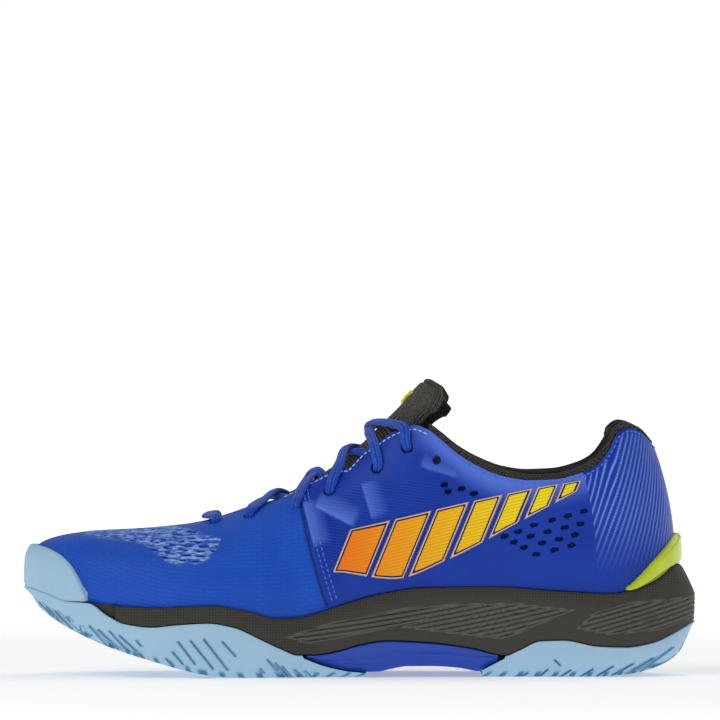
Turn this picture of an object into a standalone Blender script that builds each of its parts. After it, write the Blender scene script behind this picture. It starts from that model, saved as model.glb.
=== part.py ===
"""A right-foot court shoe, low cut, laced over a padded tongue.

Lengths in this file are millimetres and each mesh is turned to metres as it is made.
The toe points to -X, the inner (medial) side of the foot is -Y, and the ground is Z = 0.

The upper is one skin, worked out by skin(u, v): u runs round the sole's edge from the middle
of the heel along the medial side to the toe and back along the lateral side, and v runs up
the wall, from -1 at the footbed, through 0 at the line where sole and upper meet, to 1 at
the edge of the throat and the collar.  Every layer of the upper is a patch of that skin
at its own depth, so the layers follow each other when a size is changed.
"""
import math

import bmesh
import bpy
import mathutils
import numpy as np

MM = 0.001

# Overall sizes
SHOE_LENGTH = 298.0
SOLE_WIDTH = 113.0
COLLAR_HEIGHT = 110.0

# Sizes that the curves below were drawn at; a new overall size stretches the curves
DRAWN_LENGTH = 298.0
DRAWN_WIDTH = 113.0
DRAWN_HEIGHT = 110.0

# Clearances
GAP = 0.35
SEAM_GAP = 0.4
LAYER_PLAY = 1.2
OVERLAY_PLAY = 0.6
SHANK_PLAY = 0.6
LACE_PLAY = 0.5

# Layers of the upper, outside to inside
UPPER_WALL = 1.4
STIFFENER_WALL = 1.1
PUFF_WALL = 0.7
LINING_WALL = 1.0
TOE_GUARD_WALL = 2.0
HEEL_CLIP_WALL = 2.4
FLASH_WALL = 0.7
COLLAR_PAD = 7.0
COLLAR_ROLL = 3.6
FOAM_PLAY = 1.6

# Sole
RUBBER_WALL = 3.4
RUBBER_LIP = 2.1
RIM_WALL = 2.6
TUCK_LEAN = 4.0
STROBEL_WALL = 1.4
SOCKLINER_WALL = 4.0
SOCKLINER_RIM = 3.0

# Insets from the sole's edge: where the rubber's tray and the foam inside it turn flat,
# where the rubber's side turns under, and where the foam's lip starts at the toe
TRAY_INSET = 7.0
FOAM_INSET = 9.0
TREAD_INSET = 6.0
TOE_LIP_START = -108
HEEL_GEL_SIZE = (50.0, 36.0, 7.0)
FORE_GEL_SIZE = (56.0, 44.0, 3.6)

# Tongue
TONGUE_KNIT = 1.4
TONGUE_FOAM = 3.4
LABEL_WALL = 0.8

# Lacing
LACE_DIAMETER = 2.8
EYELET_PLAY = 3.3
EYELET_BORE = LACE_DIAMETER + EYELET_PLAY
AGLET_DIAMETER = 3.0

SIDES = {"medial": -1, "lateral": 1}


def stretch_x(x):
    return x * SHOE_LENGTH / DRAWN_LENGTH


def stretch_y(y):
    return y * SOLE_WIDTH / DRAWN_WIDTH


def stretch_z(z):
    return z * COLLAR_HEIGHT / DRAWN_HEIGHT


# ---------------------------------------------------------------- curves

def line_of(points):
    """Height along the shoe through (x, z) points, smooth and without overshoot."""
    xs = stretch_x(np.array([p[0] for p in points], float))
    zs = stretch_z(np.array([p[1] for p in points], float))
    step = np.diff(xs)
    rate = np.diff(zs) / step
    slope = np.zeros(len(xs))
    same = rate[:-1] * rate[1:] > 0
    near, far = rate[:-1][same], rate[1:][same]
    slope[1:-1][same] = 2.0 * near * far / (near + far)
    slope[0], slope[-1] = rate[0], rate[-1]

    def height(x):
        x = np.clip(np.asarray(x, float), xs[0], xs[-1])
        i = np.clip(np.searchsorted(xs, x) - 1, 0, len(step) - 1)
        t = (x - xs[i]) / step[i]
        start = (1 + 2 * t) * (1 - t) ** 2 * zs[i] + t * (1 - t) ** 2 * step[i] * slope[i]
        end = t * t * (3 - 2 * t) * zs[i + 1] + t * t * (t - 1) * step[i] * slope[i + 1]
        return start + end

    return height


def closed_curve(knots, rows):
    """Closed cubic spline: rows[i] is its value at knots[i], and rows[0] again at knots[-1]."""
    rows = np.asarray(rows, float)
    count = len(rows)
    step = np.diff(knots)
    matrix = np.zeros((count, count))
    pull = np.zeros_like(rows)
    for i in range(count):
        before, after = step[i - 1], step[i]
        matrix[i, i - 1] += before
        matrix[i, i] += 2 * (before + after)
        matrix[i, (i + 1) % count] += after
        rise_after = (rows[(i + 1) % count] - rows[i]) / after
        rise_before = (rows[i] - rows[i - 1]) / before
        pull[i] = 6 * (rise_after - rise_before)
    bend = np.linalg.solve(matrix, pull)

    def value(u):
        u = np.mod(np.asarray(u, float), knots[-1])
        i = np.clip(np.searchsorted(knots, u, side="right") - 1, 0, count - 1)
        j = (i + 1) % count
        h = step[i]
        a = ((knots[i + 1] - u) / h)[..., None]
        b = ((u - knots[i]) / h)[..., None]
        h = h[..., None]
        curve = a * rows[i] + b * rows[j]
        return curve + ((a ** 3 - a) * bend[i] + (b ** 3 - b) * bend[j]) * h * h / 6

    return value


# Side view, toe to heel.  CREST is the upper's top line: toe, instep, throat and collar edge.
CREST = line_of([(-149, 62.6), (-138, 63.2), (-120, 64), (-100, 64.5), (-85, 65.6), (-70, 67.8),
                 (-58, 71.2), (-50, 74), (-36, 78), (-20, 86), (-5, 94.5), (7, 102.5),
                 (16, 108.5), (24, 111), (30, 109), (36, 104.5), (43, 98.5), (52, 93), (62, 88.8),
                 (75, 86.7), (86, 87.1), (98, 90), (105, 93.6), (110, 99.5), (114, 107),
                 (119, 109.6), (124, 108), (130, 102)])
BITE = line_of([(-149, 40.5), (-140, 38), (-130, 34.6), (-120, 34.5), (-105, 32), (-90, 31.4),
                (-65, 32.3), (-50, 30), (-35, 26.6), (-25, 27.2), (-5, 33), (10, 37),
                (30, 39.8), (60, 40), (90, 38.2), (112, 37.2), (123, 39), (133, 42.5),
                (140, 46.5), (144, 49.5)])
GROUND = line_of([(-147, 35.5), (-143, 31), (-135, 25), (-125, 19.5), (-110, 13), (-100, 9.7),
                  (-90, 6.7), (-80, 3.9), (-70, 1.5), (-60, 0.3), (-52, 0), (104, 0), (112, 0.4),
                  (122, 1.4), (131, 3.8), (139, 7.8), (145, 14), (148, 21)])
# Upper edge of all that is under the foam: forefoot rubber, shank and heel rubber
FOAM_EDGE = line_of([(-149, 39.3), (-140, 36.8), (-130, 33.4), (-120, 32.6), (-112, 27.5),
                     (-104, 23.7), (-92, 22.2), (-80, 23.3), (-67, 24), (-55, 22), (-45, 17.5),
                     (-35, 12.8), (-27, 9.8), (-20, 9.7), (-10, 11.2), (0, 14), (12, 15.8),
                     (30, 14.9), (50, 12.3), (60, 9.7), (64, 9.2), (70, 11.5), (80, 15.7),
                     (90, 16), (105, 13.4), (118, 12.9), (130, 14.8), (140, 19), (149, 23.8)])
FORE_EDGE = line_of([(-45, 17.5), (-35, 12.8), (-25, 8.7), (-15, 4.9), (-5, 2.6), (5, 1.6)])
HEEL_EDGE = line_of([(52, 1.8), (57, 4.5), (61, 6.6), (64, 8.2), (70, 11.5)])
SHANK_LOW = line_of([(-24, 8.2), (-15, 4.9), (-5, 2.6), (5, 1.6), (9, 1.7), (14, 2.8), (22, 4),
                     (32, 4), (44, 3.2), (52, 1.8), (57, 4.5), (61, 6.6), (64, 8.2)])
FOOTBED = line_of([(-149, 33.6), (-140, 32.6), (-130, 29.6), (-120, 26), (-100, 19.2),
                   (-80, 14.8), (-60, 13.2), (-40, 13.6), (-10, 16.8), (20, 20), (60, 21.4),
                   (110, 21.8), (149, 24)])
GUARD_TOP = line_of([(-147, 57.5), (-140, 56.6), (-134, 54.6), (-128, 50), (-124, 44),
                     (-120.5, 37)])
CLIP_TOP = line_of([(117, 38.4), (123, 44), (129, 50.5), (135, 57), (140, 64), (143, 69)])


# ---------------------------------------------------------------- skin of the upper

# One row for each station round the shoe, heel to toe:
# sole edge x, medial y, lateral y; top edge x, medial y, lateral y;
# lean of the wall in from the sole edge; fold of the wall in degrees; fullness of its curve
STATIONS = [
    (149.0, 0, 0, 130, 0, 0, 9.2, 20, 2.0),
    (142.5, -20.5, 19.5, 126.5, -14, 13.5, 8.2, 20, 2.0),
    (125, -35.5, 34.5, 112, -27, 26.5, 6.0, 22, 2.0),
    (97, -40.5, 41, 92, -33, 33, 4.8, 26, 2.0),
    (66, -39, 43.5, 66, -33.5, 34, 4.8, 31, 2.0),
    (36, -37.5, 46.5, 37, -26.5, 27.5, 5.0, 41, 2.0),
    (5, -41.5, 52, 8, -18.5, 19.5, 5.0, 56, 2.05),
    (-30, -51, 56.5, -24, -15, 16, 4.5, 70, 2.15),
    (-66, -56.5, 55.5, -49, -12.5, 13, 4.0, 80, 2.3),
    (-102, -52, 47, -61.5, -8.5, 8.8, 3.5, 90, 2.6),
    (-131, -38, 31, -66.5, -4.4, 4.4, 2.9, 90, 3.6),
    (-149.0, -7, -7, -68, 0, 0, 2.6, 90, 5.4),
]


def loop_of(medial_row, lateral_row):
    """Rows of the closed loop: heel, medial side, toe, lateral side."""
    rows = [medial_row(s) for s in STATIONS]
    rows += [lateral_row(s) for s in STATIONS[-2:0:-1]]
    return np.array(rows, float)


SOLE_LOOP = loop_of(lambda s: (stretch_x(s[0]), stretch_y(s[1])),
                    lambda s: (stretch_x(s[0]), stretch_y(s[2])))
TOP_LOOP = loop_of(lambda s: (stretch_x(s[3]), stretch_y(s[4])),
                   lambda s: (stretch_x(s[3]), stretch_y(s[5])))
WALL_LOOP = loop_of(lambda s: s[6:], lambda s: s[6:])
CHORDS = np.linalg.norm(np.roll(SOLE_LOOP, -1, axis=0) - SOLE_LOOP, axis=1)
KNOTS = np.concatenate([[0.0], np.cumsum(CHORDS)])
ROUND = KNOTS[-1]
sole_edge = closed_curve(KNOTS, SOLE_LOOP)
top_edge = closed_curve(KNOTS, TOP_LOOP)
wall_shape = closed_curve(KNOTS, WALL_LOOP)

FINE_U = np.linspace(0, ROUND, 2801)
FINE_X = sole_edge(FINE_U)[:, 0]
TOE_INDEX = int(np.argmin(FINE_X))
TOE_U = FINE_U[TOE_INDEX]


def at(x, side):
    """u where the sole's edge passes drawn position x on one side."""
    x = stretch_x(x)
    if side == "medial":
        return float(np.interp(-x, -FINE_X[:TOE_INDEX + 1], FINE_U[:TOE_INDEX + 1]))
    return float(np.interp(x, FINE_X[TOE_INDEX:], FINE_U[TOE_INDEX:]))


def inset_edge(u, inset):
    """Sole edge moved in by inset; returns x and y."""
    ahead = sole_edge(np.asarray(u) + 0.5)
    behind = sole_edge(np.asarray(u) - 0.5)
    along = ahead - behind
    along /= np.linalg.norm(along, axis=-1, keepdims=True)
    middle = sole_edge(u)
    inward = np.stack([along[..., 1], -along[..., 0]], axis=-1)
    moved = middle + inward * np.asarray(inset)[..., None]
    return moved[..., 0], moved[..., 1]


def skin_surface(u, v):
    u, v = np.broadcast_arrays(np.asarray(u, float), np.asarray(v, float))
    lean, fold, full = np.moveaxis(wall_shape(u), -1, 0)
    edge_x = sole_edge(u)[..., 0]
    low_x, low_y = inset_edge(u, lean)
    low_z = BITE(edge_x)
    top = top_edge(u)
    up = np.clip(v, 0, 1.2)
    end = np.radians(np.clip(fold, 10, 89))
    angle = np.minimum(end * up, math.radians(89.9))
    reach = (np.cos(angle) ** full + np.sin(angle) ** full) ** (-1 / full)
    end_reach = (np.cos(end) ** full + np.sin(end) ** full) ** (-1 / full)
    across = (1 - reach * np.cos(angle)) / (1 - end_reach * np.cos(end))
    rise = reach * np.sin(angle) / (end_reach * np.sin(end))
    x = low_x + (top[..., 0] - low_x) * across
    y = low_y + (top[..., 1] - low_y) * across
    z = low_z + (CREST(x) - low_z) * rise
    down = np.clip(-v, 0, 1)
    foot_x, foot_y = inset_edge(u, lean + TUCK_LEAN)
    x = np.where(v < 0, low_x + (foot_x - low_x) * down, x)
    y = np.where(v < 0, low_y + (foot_y - low_y) * down, y)
    z = np.where(v < 0, low_z + (FOOTBED(edge_x) + GAP - low_z) * down, z)
    return np.stack([x, y, z], axis=-1)


def skin(u, v, depth=0.0):
    """Point of the upper at u, v, moved inward by depth along the skin's own normal."""
    along = skin_surface(np.asarray(u) + 0.4, v) - skin_surface(np.asarray(u) - 0.4, v)
    rising = skin_surface(u, np.asarray(v) + 0.01) - skin_surface(u, np.asarray(v) - 0.01)
    inward = np.cross(along, rising)
    inward /= np.linalg.norm(inward, axis=-1, keepdims=True)
    return skin_surface(u, v) + inward * np.asarray(depth)[..., None]


def place(x, z, side):
    """u and v of the skin point seen at drawn x, z on one side."""
    u = np.array([at(one, side) for one in np.atleast_1d(x)])
    want_x = stretch_x(np.atleast_1d(x).astype(float))
    want_z = stretch_z(np.atleast_1d(z).astype(float))
    v = np.full(len(u), 0.5)
    for _ in range(24):
        here = skin_surface(u, v)
        by_u = (skin_surface(u + 0.2, v) - here) / 0.2
        by_v = (skin_surface(u, v + 0.002) - here) / 0.002
        miss_x, miss_z = want_x - here[:, 0], want_z - here[:, 2]
        det = by_u[:, 0] * by_v[:, 2] - by_v[:, 0] * by_u[:, 2]
        step_u = (miss_x * by_v[:, 2] - by_v[:, 0] * miss_z) / det
        step_v = (by_u[:, 0] * miss_z - by_u[:, 2] * miss_x) / det
        u = u + np.clip(step_u, -8, 8)
        v = np.clip(v + np.clip(step_v, -0.2, 0.2), 0.0, 1.0)
    return u, v


# ---------------------------------------------------------------- Blender helpers

for old in list(bpy.data.objects):
    bpy.data.objects.remove(old, do_unlink=True)

SHOE = bpy.data.collections.new("court_shoe")
CUTTERS = bpy.data.collections.new("cutters")
for group in (SHOE, CUTTERS):
    bpy.context.scene.collection.children.link(group)


def material(name, red, green, blue, roughness, metallic=0.0):
    made = bpy.data.materials.new(name)
    made.use_nodes = True
    shader = made.node_tree.nodes["Principled BSDF"]
    shader.inputs["Base Color"].default_value = (red, green, blue, 1)
    shader.inputs["Roughness"].default_value = roughness
    shader.inputs["Metallic"].default_value = metallic
    made.diffuse_color = (red, green, blue, 1)
    return made


def add_mesh(name, points, faces, look, group=SHOE):
    mesh = bpy.data.meshes.new(name)
    mesh.from_pydata([tuple(p) for p in np.asarray(points) * MM], [], faces)
    mesh.validate()
    mesh.shade_smooth()
    mesh.set_sharp_from_angle(angle=math.radians(40))
    made = bpy.data.objects.new(name, mesh)
    group.objects.link(made)
    if look:
        mesh.materials.append(look)
    return made


def sheet(name, grid, thickness, look):
    """Open grid of points, made solid inward with Solidify."""
    rows, cols = grid.shape[:2]
    faces = []
    for r in range(rows - 1):
        for c in range(cols - 1):
            a = r * cols + c
            faces.append((a, a + 1, a + cols + 1, a + cols))
    made = add_mesh(name, grid.reshape(-1, 3), faces, look)
    solid = made.modifiers.new("wall", "SOLIDIFY")
    solid.thickness = thickness * MM
    solid.offset = -1
    return made


def patch(name, left, right, low, high, depth, thickness, look, across, up):
    """Patch of the skin: left and right give u from v, low and high give v from u."""
    t = np.linspace(0, 1, up + 1)[None, :]
    s = np.linspace(0, 1, across + 1)[:, None]
    v = low(left(0.5)) * (1 - t) + high(left(0.5)) * t
    for _ in range(3):
        u = left(v) * (1 - s) + right(v) * s
        v = low(u) * (1 - t) + high(u) * t
    return sheet(name, skin(u, v, depth), thickness, look)


RUNG_SHARES = (1 - np.cos(np.linspace(0, math.pi, 40))) / 2


def rungs(front, rear):
    """Matching medial and lateral u, rear to front.  Every sole piece shares these rungs."""
    medial = TOE_U * RUNG_SHARES
    lateral = ROUND + (TOE_U - ROUND) * RUNG_SHARES
    if rear is not None:
        ahead = (medial > at(rear, "medial") + 1) & (lateral < at(rear, "lateral") - 1)
        medial = np.concatenate([[at(rear, "medial")], medial[ahead]])
        lateral = np.concatenate([[at(rear, "lateral")], lateral[ahead]])
    if front is not None:
        behind = (medial < at(front, "medial") - 1) & (lateral > at(front, "lateral") + 1)
        medial = np.concatenate([medial[behind], [at(front, "medial")]])
        lateral = np.concatenate([lateral[behind], [at(front, "lateral")]])
    return medial, lateral


def split_high(points, face):
    """A quad as two triangles along its higher diagonal, so nested walls fold the same way."""
    if len(face) < 4:
        return [face]
    a, b, c, d = face
    if points[a][2] + points[c][2] > points[b][2] + points[d][2]:
        return [(a, b, c), (a, c, d)]
    return [(a, b, d), (b, c, d)]


def sole_solid(name, front, rear, rings, look):
    """Closed solid from rings round the sole; rings give (inset, height) from u and x.

    The first ring is closed with rungs across the underside and the last across the top.
    """
    medial, lateral = rungs(front, rear)
    count = len(medial)
    back = list(range(count - 1, -1, -1))
    if front is None:
        back = back[1:]
    if rear is None:
        back = back[:-1]
    loop = np.concatenate([medial, lateral[back]])
    side = len(loop)
    partner = {count + i: j for i, j in enumerate(back)}
    pair = {j: i for i, j in partner.items()}
    pair.setdefault(0, 0)
    pair.setdefault(count - 1, count - 1)
    points = []
    for inset_of, height_of in rings:
        x, y = inset_edge(loop, inset_of(loop) * np.ones(side))
        edge_x = sole_edge(loop)[:, 0]
        z = height_of(edge_x, x) * np.ones(side)
        points.append(np.stack([x, y, z], axis=-1))
    faces = []
    stack = np.concatenate(points)
    for r in range(len(rings) - 1):
        for i in range(side):
            j = (i + 1) % side
            faces += split_high(stack, (r * side + i, (r + 1) * side + i,
                                        (r + 1) * side + j, r * side + j))
    top = (len(rings) - 1) * side
    for a in range(count - 1):
        quad = []
        for corner in (a, a + 1, pair[a + 1], pair[a]):
            if corner not in quad:
                quad.append(corner)
        faces += split_high(stack, tuple(quad))
        faces += split_high(stack, tuple(top + corner for corner in reversed(quad)))
    return add_mesh(name, stack, faces, look)


def lean_of(u):
    return wall_shape(u)[..., 0]


def flat(value):
    return lambda u: np.full(np.shape(u), float(value))


# ---------------------------------------------------------------- sole unit

def rubber_floor(edge_x, x):
    """Inner floor of the rubber: a tray in the middle of each pad, solid at its arch end."""
    fore = np.clip((edge_x - stretch_x(-52)) / stretch_x(28), 0, 1)
    heel = np.clip((stretch_x(92) - edge_x) / stretch_x(28), 0, 1)
    solid = np.where(edge_x < 20, fore, heel)
    tray = GROUND(edge_x + stretch_x(x - edge_x)) + RUBBER_WALL
    return np.minimum(tray * (1 - solid) + solid * FOAM_EDGE(edge_x), FOAM_EDGE(edge_x) - 0.1)


def under_foam(edge_x, x):
    arch = (edge_x > stretch_x(-24.5)) & (edge_x < stretch_x(64))
    return np.where(arch, FOAM_EDGE(edge_x) + GAP, rubber_floor(edge_x, x) + GAP)


def rim_drop(edge_x):
    return 0.6 + 2.9 * np.clip((stretch_x(-110) - edge_x) / stretch_x(14), 0, 1)


def rim_height(edge_x, x):
    return BITE(edge_x) - rim_drop(edge_x)


def cup_inset(u, down):
    return lean_of(u) + TUCK_LEAN * down - GAP - 0.05


def rim_inset(u):
    """Inset of the cup's inner edge at the height of the rim."""
    edge_x = sole_edge(u)[..., 0]
    deep = BITE(edge_x) - FOOTBED(edge_x)
    return cup_inset(u, rim_drop(edge_x) / deep)


def rim_outer(u):
    return np.maximum(rim_inset(u) - RIM_WALL, np.where(rim_drop(sole_edge(u)[..., 0]) > 0.7,
                                                       RUBBER_LIP + 0.6, 0.4))


def midsole():
    look = material("black_eva_foam", 0.012, 0.011, 0.010, 0.75)
    ledge = RUBBER_LIP + 2 * GAP

    def belly_height(e, x):
        return 0.55 * (FOAM_EDGE(e) + GAP) + 0.45 * rim_height(e, x)

    def lip_inset(u):
        return np.where(sole_edge(u)[..., 0] < stretch_x(TOE_LIP_START), ledge, 0.5)

    def belly_inset(u):
        return np.where(sole_edge(u)[..., 0] < stretch_x(TOE_LIP_START), ledge + 0.1, 0.0)

    rings = [(flat(FOAM_INSET), under_foam),
             (flat(ledge), lambda e, x: FOAM_EDGE(e) + GAP),
             (lip_inset, lambda e, x: FOAM_EDGE(e) + GAP + 0.1),
             (belly_inset, belly_height),
             (rim_outer, rim_height),
             (rim_inset, rim_height),
             (lambda u: cup_inset(u, 1.0), lambda e, x: FOOTBED(e))]
    body = sole_solid("midsole", None, None, rings, look)
    for name, (length, width, deep), x in (("heel_gel", HEEL_GEL_SIZE, 104.0),
                                           ("fore_gel", FORE_GEL_SIZE, -56.0)):
        cutter = gel_disc(name + "_pocket", length + 2 * GAP, width + 2 * GAP, x,
                          float(FOOTBED(stretch_x(x))) - deep - GAP, 60.0, None, CUTTERS)
        cutter.hide_render = True
        cutter.display_type = "WIRE"
        cut = body.modifiers.new(name, "BOOLEAN")
        cut.operation = "DIFFERENCE"
        cut.solver = "EXACT"
        cut.object = cutter


def gel_disc(name, length, width, x, base, tall, look, group):
    mesh = bpy.data.meshes.new(name)
    shape = bmesh.new()
    bmesh.ops.create_cone(shape, cap_ends=True, segments=20, radius1=0.5, radius2=0.5, depth=1)
    bmesh.ops.scale(shape, vec=(length * MM, width * MM, tall * MM), verts=shape.verts)
    shape.to_mesh(mesh)
    shape.free()
    made = bpy.data.objects.new(name, mesh)
    made.location = (stretch_x(x) * MM, 0, (base + tall / 2) * MM)
    group.objects.link(made)
    if look:
        mesh.materials.append(look)
    return made


def gel_pads():
    look = material("soft_gel", 0.35, 0.55, 0.65, 0.3)
    for name, (length, width, deep), x in (("heel_gel_pad", HEEL_GEL_SIZE, 104.0),
                                           ("forefoot_gel_pad", FORE_GEL_SIZE, -56.0)):
        reach = stretch_x(x) + np.array([-0.5, 0.5]) * length
        top = float(FOOTBED(reach).min()) - 0.1
        base = float(FOOTBED(stretch_x(x))) - deep
        gel_disc(name, length, width, x, base, min(deep, top - base), look, SHOE)


def outsoles():
    look = material("light_blue_rubber", 0.38, 0.58, 0.76, 0.6)
    for name, front, rear, edge in (("forefoot_outsole", None, 4.0, FORE_EDGE),
                                    ("heel_outsole", 54.0, None, HEEL_EDGE)):
        def lip(e, x, edge=edge):
            covered = (e > stretch_x(-25)) & (e < stretch_x(64))
            return np.where(covered, edge(e), FOAM_EDGE(e)) - 0.05

        def floor(e, x, lip=lip):
            return np.minimum(rubber_floor(e, x), lip(e, x))

        rings = [(flat(TREAD_INSET), lambda e, x: GROUND(x)),
                 (flat(1.9), lambda e, x, lip=lip: 0.62 * GROUND(x) + 0.38 * lip(e, x)),
                 (flat(0.1), lip),
                 (flat(RUBBER_LIP), lip),
                 (flat(TRAY_INSET), floor)]
        sole_solid(name, front, rear, rings, look)


def midfoot_shank():
    look = material("blue_tpu_shank", 0.035, 0.055, 0.42, 0.35)

    def low(e, x):
        return SHANK_LOW(e) + SHANK_PLAY

    def recess(e, x):
        span = np.clip((e - stretch_x(8)) / stretch_x(10), 0, 1)
        span = span * np.clip((stretch_x(54) - e) / stretch_x(10), 0, 1)
        return low(e, x) + 5.0 * span

    rings = [(flat(13.0), recess),
             (flat(9.0), low),
             (flat(1.6), low),
             (flat(0.7), lambda e, x: FOAM_EDGE(e) - 0.05)]
    sole_solid("midfoot_shank", -23.0, 61.0, rings, look)


def bottom_boards():
    board = material("white_strobel_felt", 0.7, 0.7, 0.66, 0.95)
    foam = material("blue_sockliner_fabric", 0.02, 0.05, 0.3, 0.9)

    def board_edge(u):
        return cup_inset(u, 1.0) + UPPER_WALL + 2 * GAP + 0.4

    def low(e, x):
        return FOOTBED(e) + GAP

    rings = [(board_edge, low), (board_edge, lambda e, x: low(e, x) + STROBEL_WALL)]
    sole_solid("strobel_board", None, None, rings, board)

    def seat(e, x):
        return low(e, x) + STROBEL_WALL + GAP

    def inner(u):
        return cup_inset(u, 1.0) + LINING_DEPTH + LINING_WALL + LAYER_PLAY

    rings = [(inner, seat),
             (lambda u: inner(u) - 0.6, lambda e, x: seat(e, x) + SOCKLINER_WALL + SOCKLINER_RIM),
             (lambda u: inner(u) + 1.6, lambda e, x: seat(e, x) + SOCKLINER_WALL + SOCKLINER_RIM),
             (lambda u: inner(u) + 7, lambda e, x: seat(e, x) + SOCKLINER_WALL)]
    sole_solid("sockliner", None, None, rings, foam)


# ---------------------------------------------------------------- upper

STIFFENER_DEPTH = UPPER_WALL + LAYER_PLAY
EYESTAY_DEPTH = STIFFENER_DEPTH + 0.2
LINING_DEPTH = STIFFENER_DEPTH + STIFFENER_WALL + LAYER_PLAY
EYELETS = [(-64, 68.2), (-49, 71.2), (-28.5, 75), (-13.5, 81.5), (7.5, 92), (21, 101), (34, 95.5)]
COLLAR_FRONT = 29
COLLAR_FOAM_FRONT = 50


def seam(side, low_x, high_x, shift=0.0):
    """A seam of the upper: u from v, between drawn positions at the bite line and the top."""
    toward_toe = 1 if side == "medial" else -1
    low_u = at(low_x, side) + shift * toward_toe
    high_u = at(high_x, side) + shift * toward_toe
    return lambda v: np.interp(v, [-1, 0, 1], [low_u, low_u, high_u])


def level(v):
    return lambda u: np.full(np.shape(u), float(v))


def height_level(line, below=0.0):
    """v at which the visible wall reaches the height that a line gives at the sole's edge."""
    def v_of(u):
        u = np.asarray(u, float)
        v = np.full(u.shape, 0.4)
        for _ in range(30):
            here = skin_surface(u, v)
            want = line(here[..., 0]) - below
            slope = (skin_surface(u, v + 0.01)[..., 2] - here[..., 2]) / 0.01
            v = np.clip(v + np.clip((want - here[..., 2]) / np.maximum(slope, 5), -0.1, 0.1), 0.02, 1)
        return v
    return v_of


def above_board(u):
    """v just above the strobel board, where the inner layers end."""
    edge_x = sole_edge(u)[..., 0]
    deep = BITE(edge_x) - FOOTBED(edge_x) - GAP
    return -1 + (STROBEL_WALL + 2 * GAP) / deep


def throat_edge(u):
    """Top of the outer wall, with the notch in the eyestay behind the fourth eyelet."""
    x = top_edge(u)[..., 0]
    notch = np.clip(1 - np.abs(x - stretch_x(-4)) / stretch_x(6.5), 0, 1)
    return 1.0 - 0.075 * notch


def eyelet_cutters():
    """One mesh of pins for each side, square to the upper at each eyelet."""
    made = {}
    for side in SIDES:
        u, v = place([e[0] for e in EYELETS], [e[1] for e in EYELETS], side)
        outer = skin(u, v, -6.0)
        inner = skin(u, v, 16.0)
        pins = bmesh.new()
        for start, end in zip(outer, inner):
            axis = end - start
            length = np.linalg.norm(axis)
            turned = bmesh.ops.create_cone(pins, cap_ends=True, segments=10, depth=length * MM,
                                           radius1=EYELET_BORE / 2 * MM,
                                           radius2=EYELET_BORE / 2 * MM)
            aim = mathutils.Vector(axis).to_track_quat("Z", "Y").to_matrix().to_4x4()
            aim.translation = mathutils.Vector((start + end) / 2 * MM)
            bmesh.ops.transform(pins, matrix=aim, verts=turned["verts"])
        mesh = bpy.data.meshes.new(side + "_eyelet_pins")
        pins.to_mesh(mesh)
        pins.free()
        made[side] = bpy.data.objects.new(side + "_eyelet_pins", mesh)
        made[side].hide_render = True
        made[side].display_type = "WIRE"
        CUTTERS.objects.link(made[side])
    return made


def punch(piece, *cutters):
    for cutter in cutters:
        hole = piece.modifiers.new(cutter.name, "BOOLEAN")
        hole.operation = "DIFFERENCE"
        hole.solver = "EXACT"
        hole.object = cutter


def upper_shell(pins):
    mesh_look = material("blue_vamp_mesh", 0.015, 0.06, 0.56, 0.55)
    side_look = material("blue_synthetic", 0.01, 0.04, 0.45, 0.4)
    half = SEAM_GAP / 2
    vamp = patch("vamp", seam("medial", -11, -32, half), seam("lateral", -11, -32, half),
                 level(-1), level(1), 0.0, UPPER_WALL, mesh_look, 38, 13)
    punch(vamp, pins["medial"], pins["lateral"])
    for side in SIDES:
        front = seam(side, -11, -32, -half)
        rear = seam(side, 105, 106, half)
        ends = (rear, front) if side == "medial" else (front, rear)
        quarter = patch(side + "_quarter", *ends, level(-1), throat_edge, 0.0, UPPER_WALL,
                        side_look, 17, 9)
        punch(quarter, pins[side])
    rear_medial = seam("medial", 105, 106, -half)
    rear_lateral = seam("lateral", 105, 106, -half)
    patch("heel_panel", lambda v: rear_lateral(v) - ROUND, rear_medial, level(-1), level(1),
          0.0, UPPER_WALL, side_look, 18, 7)


def eyestays(pins):
    look = material("eyestay_backing", 0.01, 0.03, 0.3, 0.8)
    for side in SIDES:
        front = seam(side, -62, -66)
        rear = seam(side, 44, 42)
        ends = (rear, front) if side == "medial" else (front, rear)
        strip = patch(side + "_eyestay", *ends, level(0.74),
                      lambda u: throat_edge(u) - 0.02, EYESTAY_DEPTH, STIFFENER_WALL,
                      look, 16, 3)
        punch(strip, pins[side])


def stiffeners():
    look = material("thermoplastic_counter", 0.5, 0.5, 0.5, 0.5)
    lateral = seam("lateral", 78, 88)
    patch("heel_counter", lambda v: lateral(v) - ROUND, seam("medial", 78, 88), above_board,
          level(0.5), STIFFENER_DEPTH, STIFFENER_WALL, look, 18, 5)
    patch("toe_puff", seam("medial", -108, -108), seam("lateral", -108, -108), above_board,
          height_level(CREST, 3.0), STIFFENER_DEPTH, PUFF_WALL, look, 18, 9)


def forefoot_lining():
    look = material("blue_lining_mesh", 0.02, 0.05, 0.3, 0.9)

    def top(u):
        x = top_edge(u)[..., 0]
        return 0.70 + 0.08 * np.clip((stretch_x(-61) - x) / stretch_x(4), 0, 1)

    patch("forefoot_lining", seam("medial", 22, 22), seam("lateral", 22, 22), above_board, top,
          LINING_DEPTH, LINING_WALL, look, 38, 9)


def pad_depth(u, v):
    """Thickness of the collar foam: full round the ankle, thin at the front and low down."""
    x = sole_edge(u)[..., 0]
    forward = np.clip((x - stretch_x(38)) / stretch_x(40), 0, 1)
    forward = forward * forward * (3 - 2 * forward)
    upward = np.clip((v - 0.5) / 0.32, 0, 1)
    upward = upward * upward * (3 - 2 * upward)
    return (COLLAR_PAD - 1.0) * forward * upward + 1.0 * upward


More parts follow.
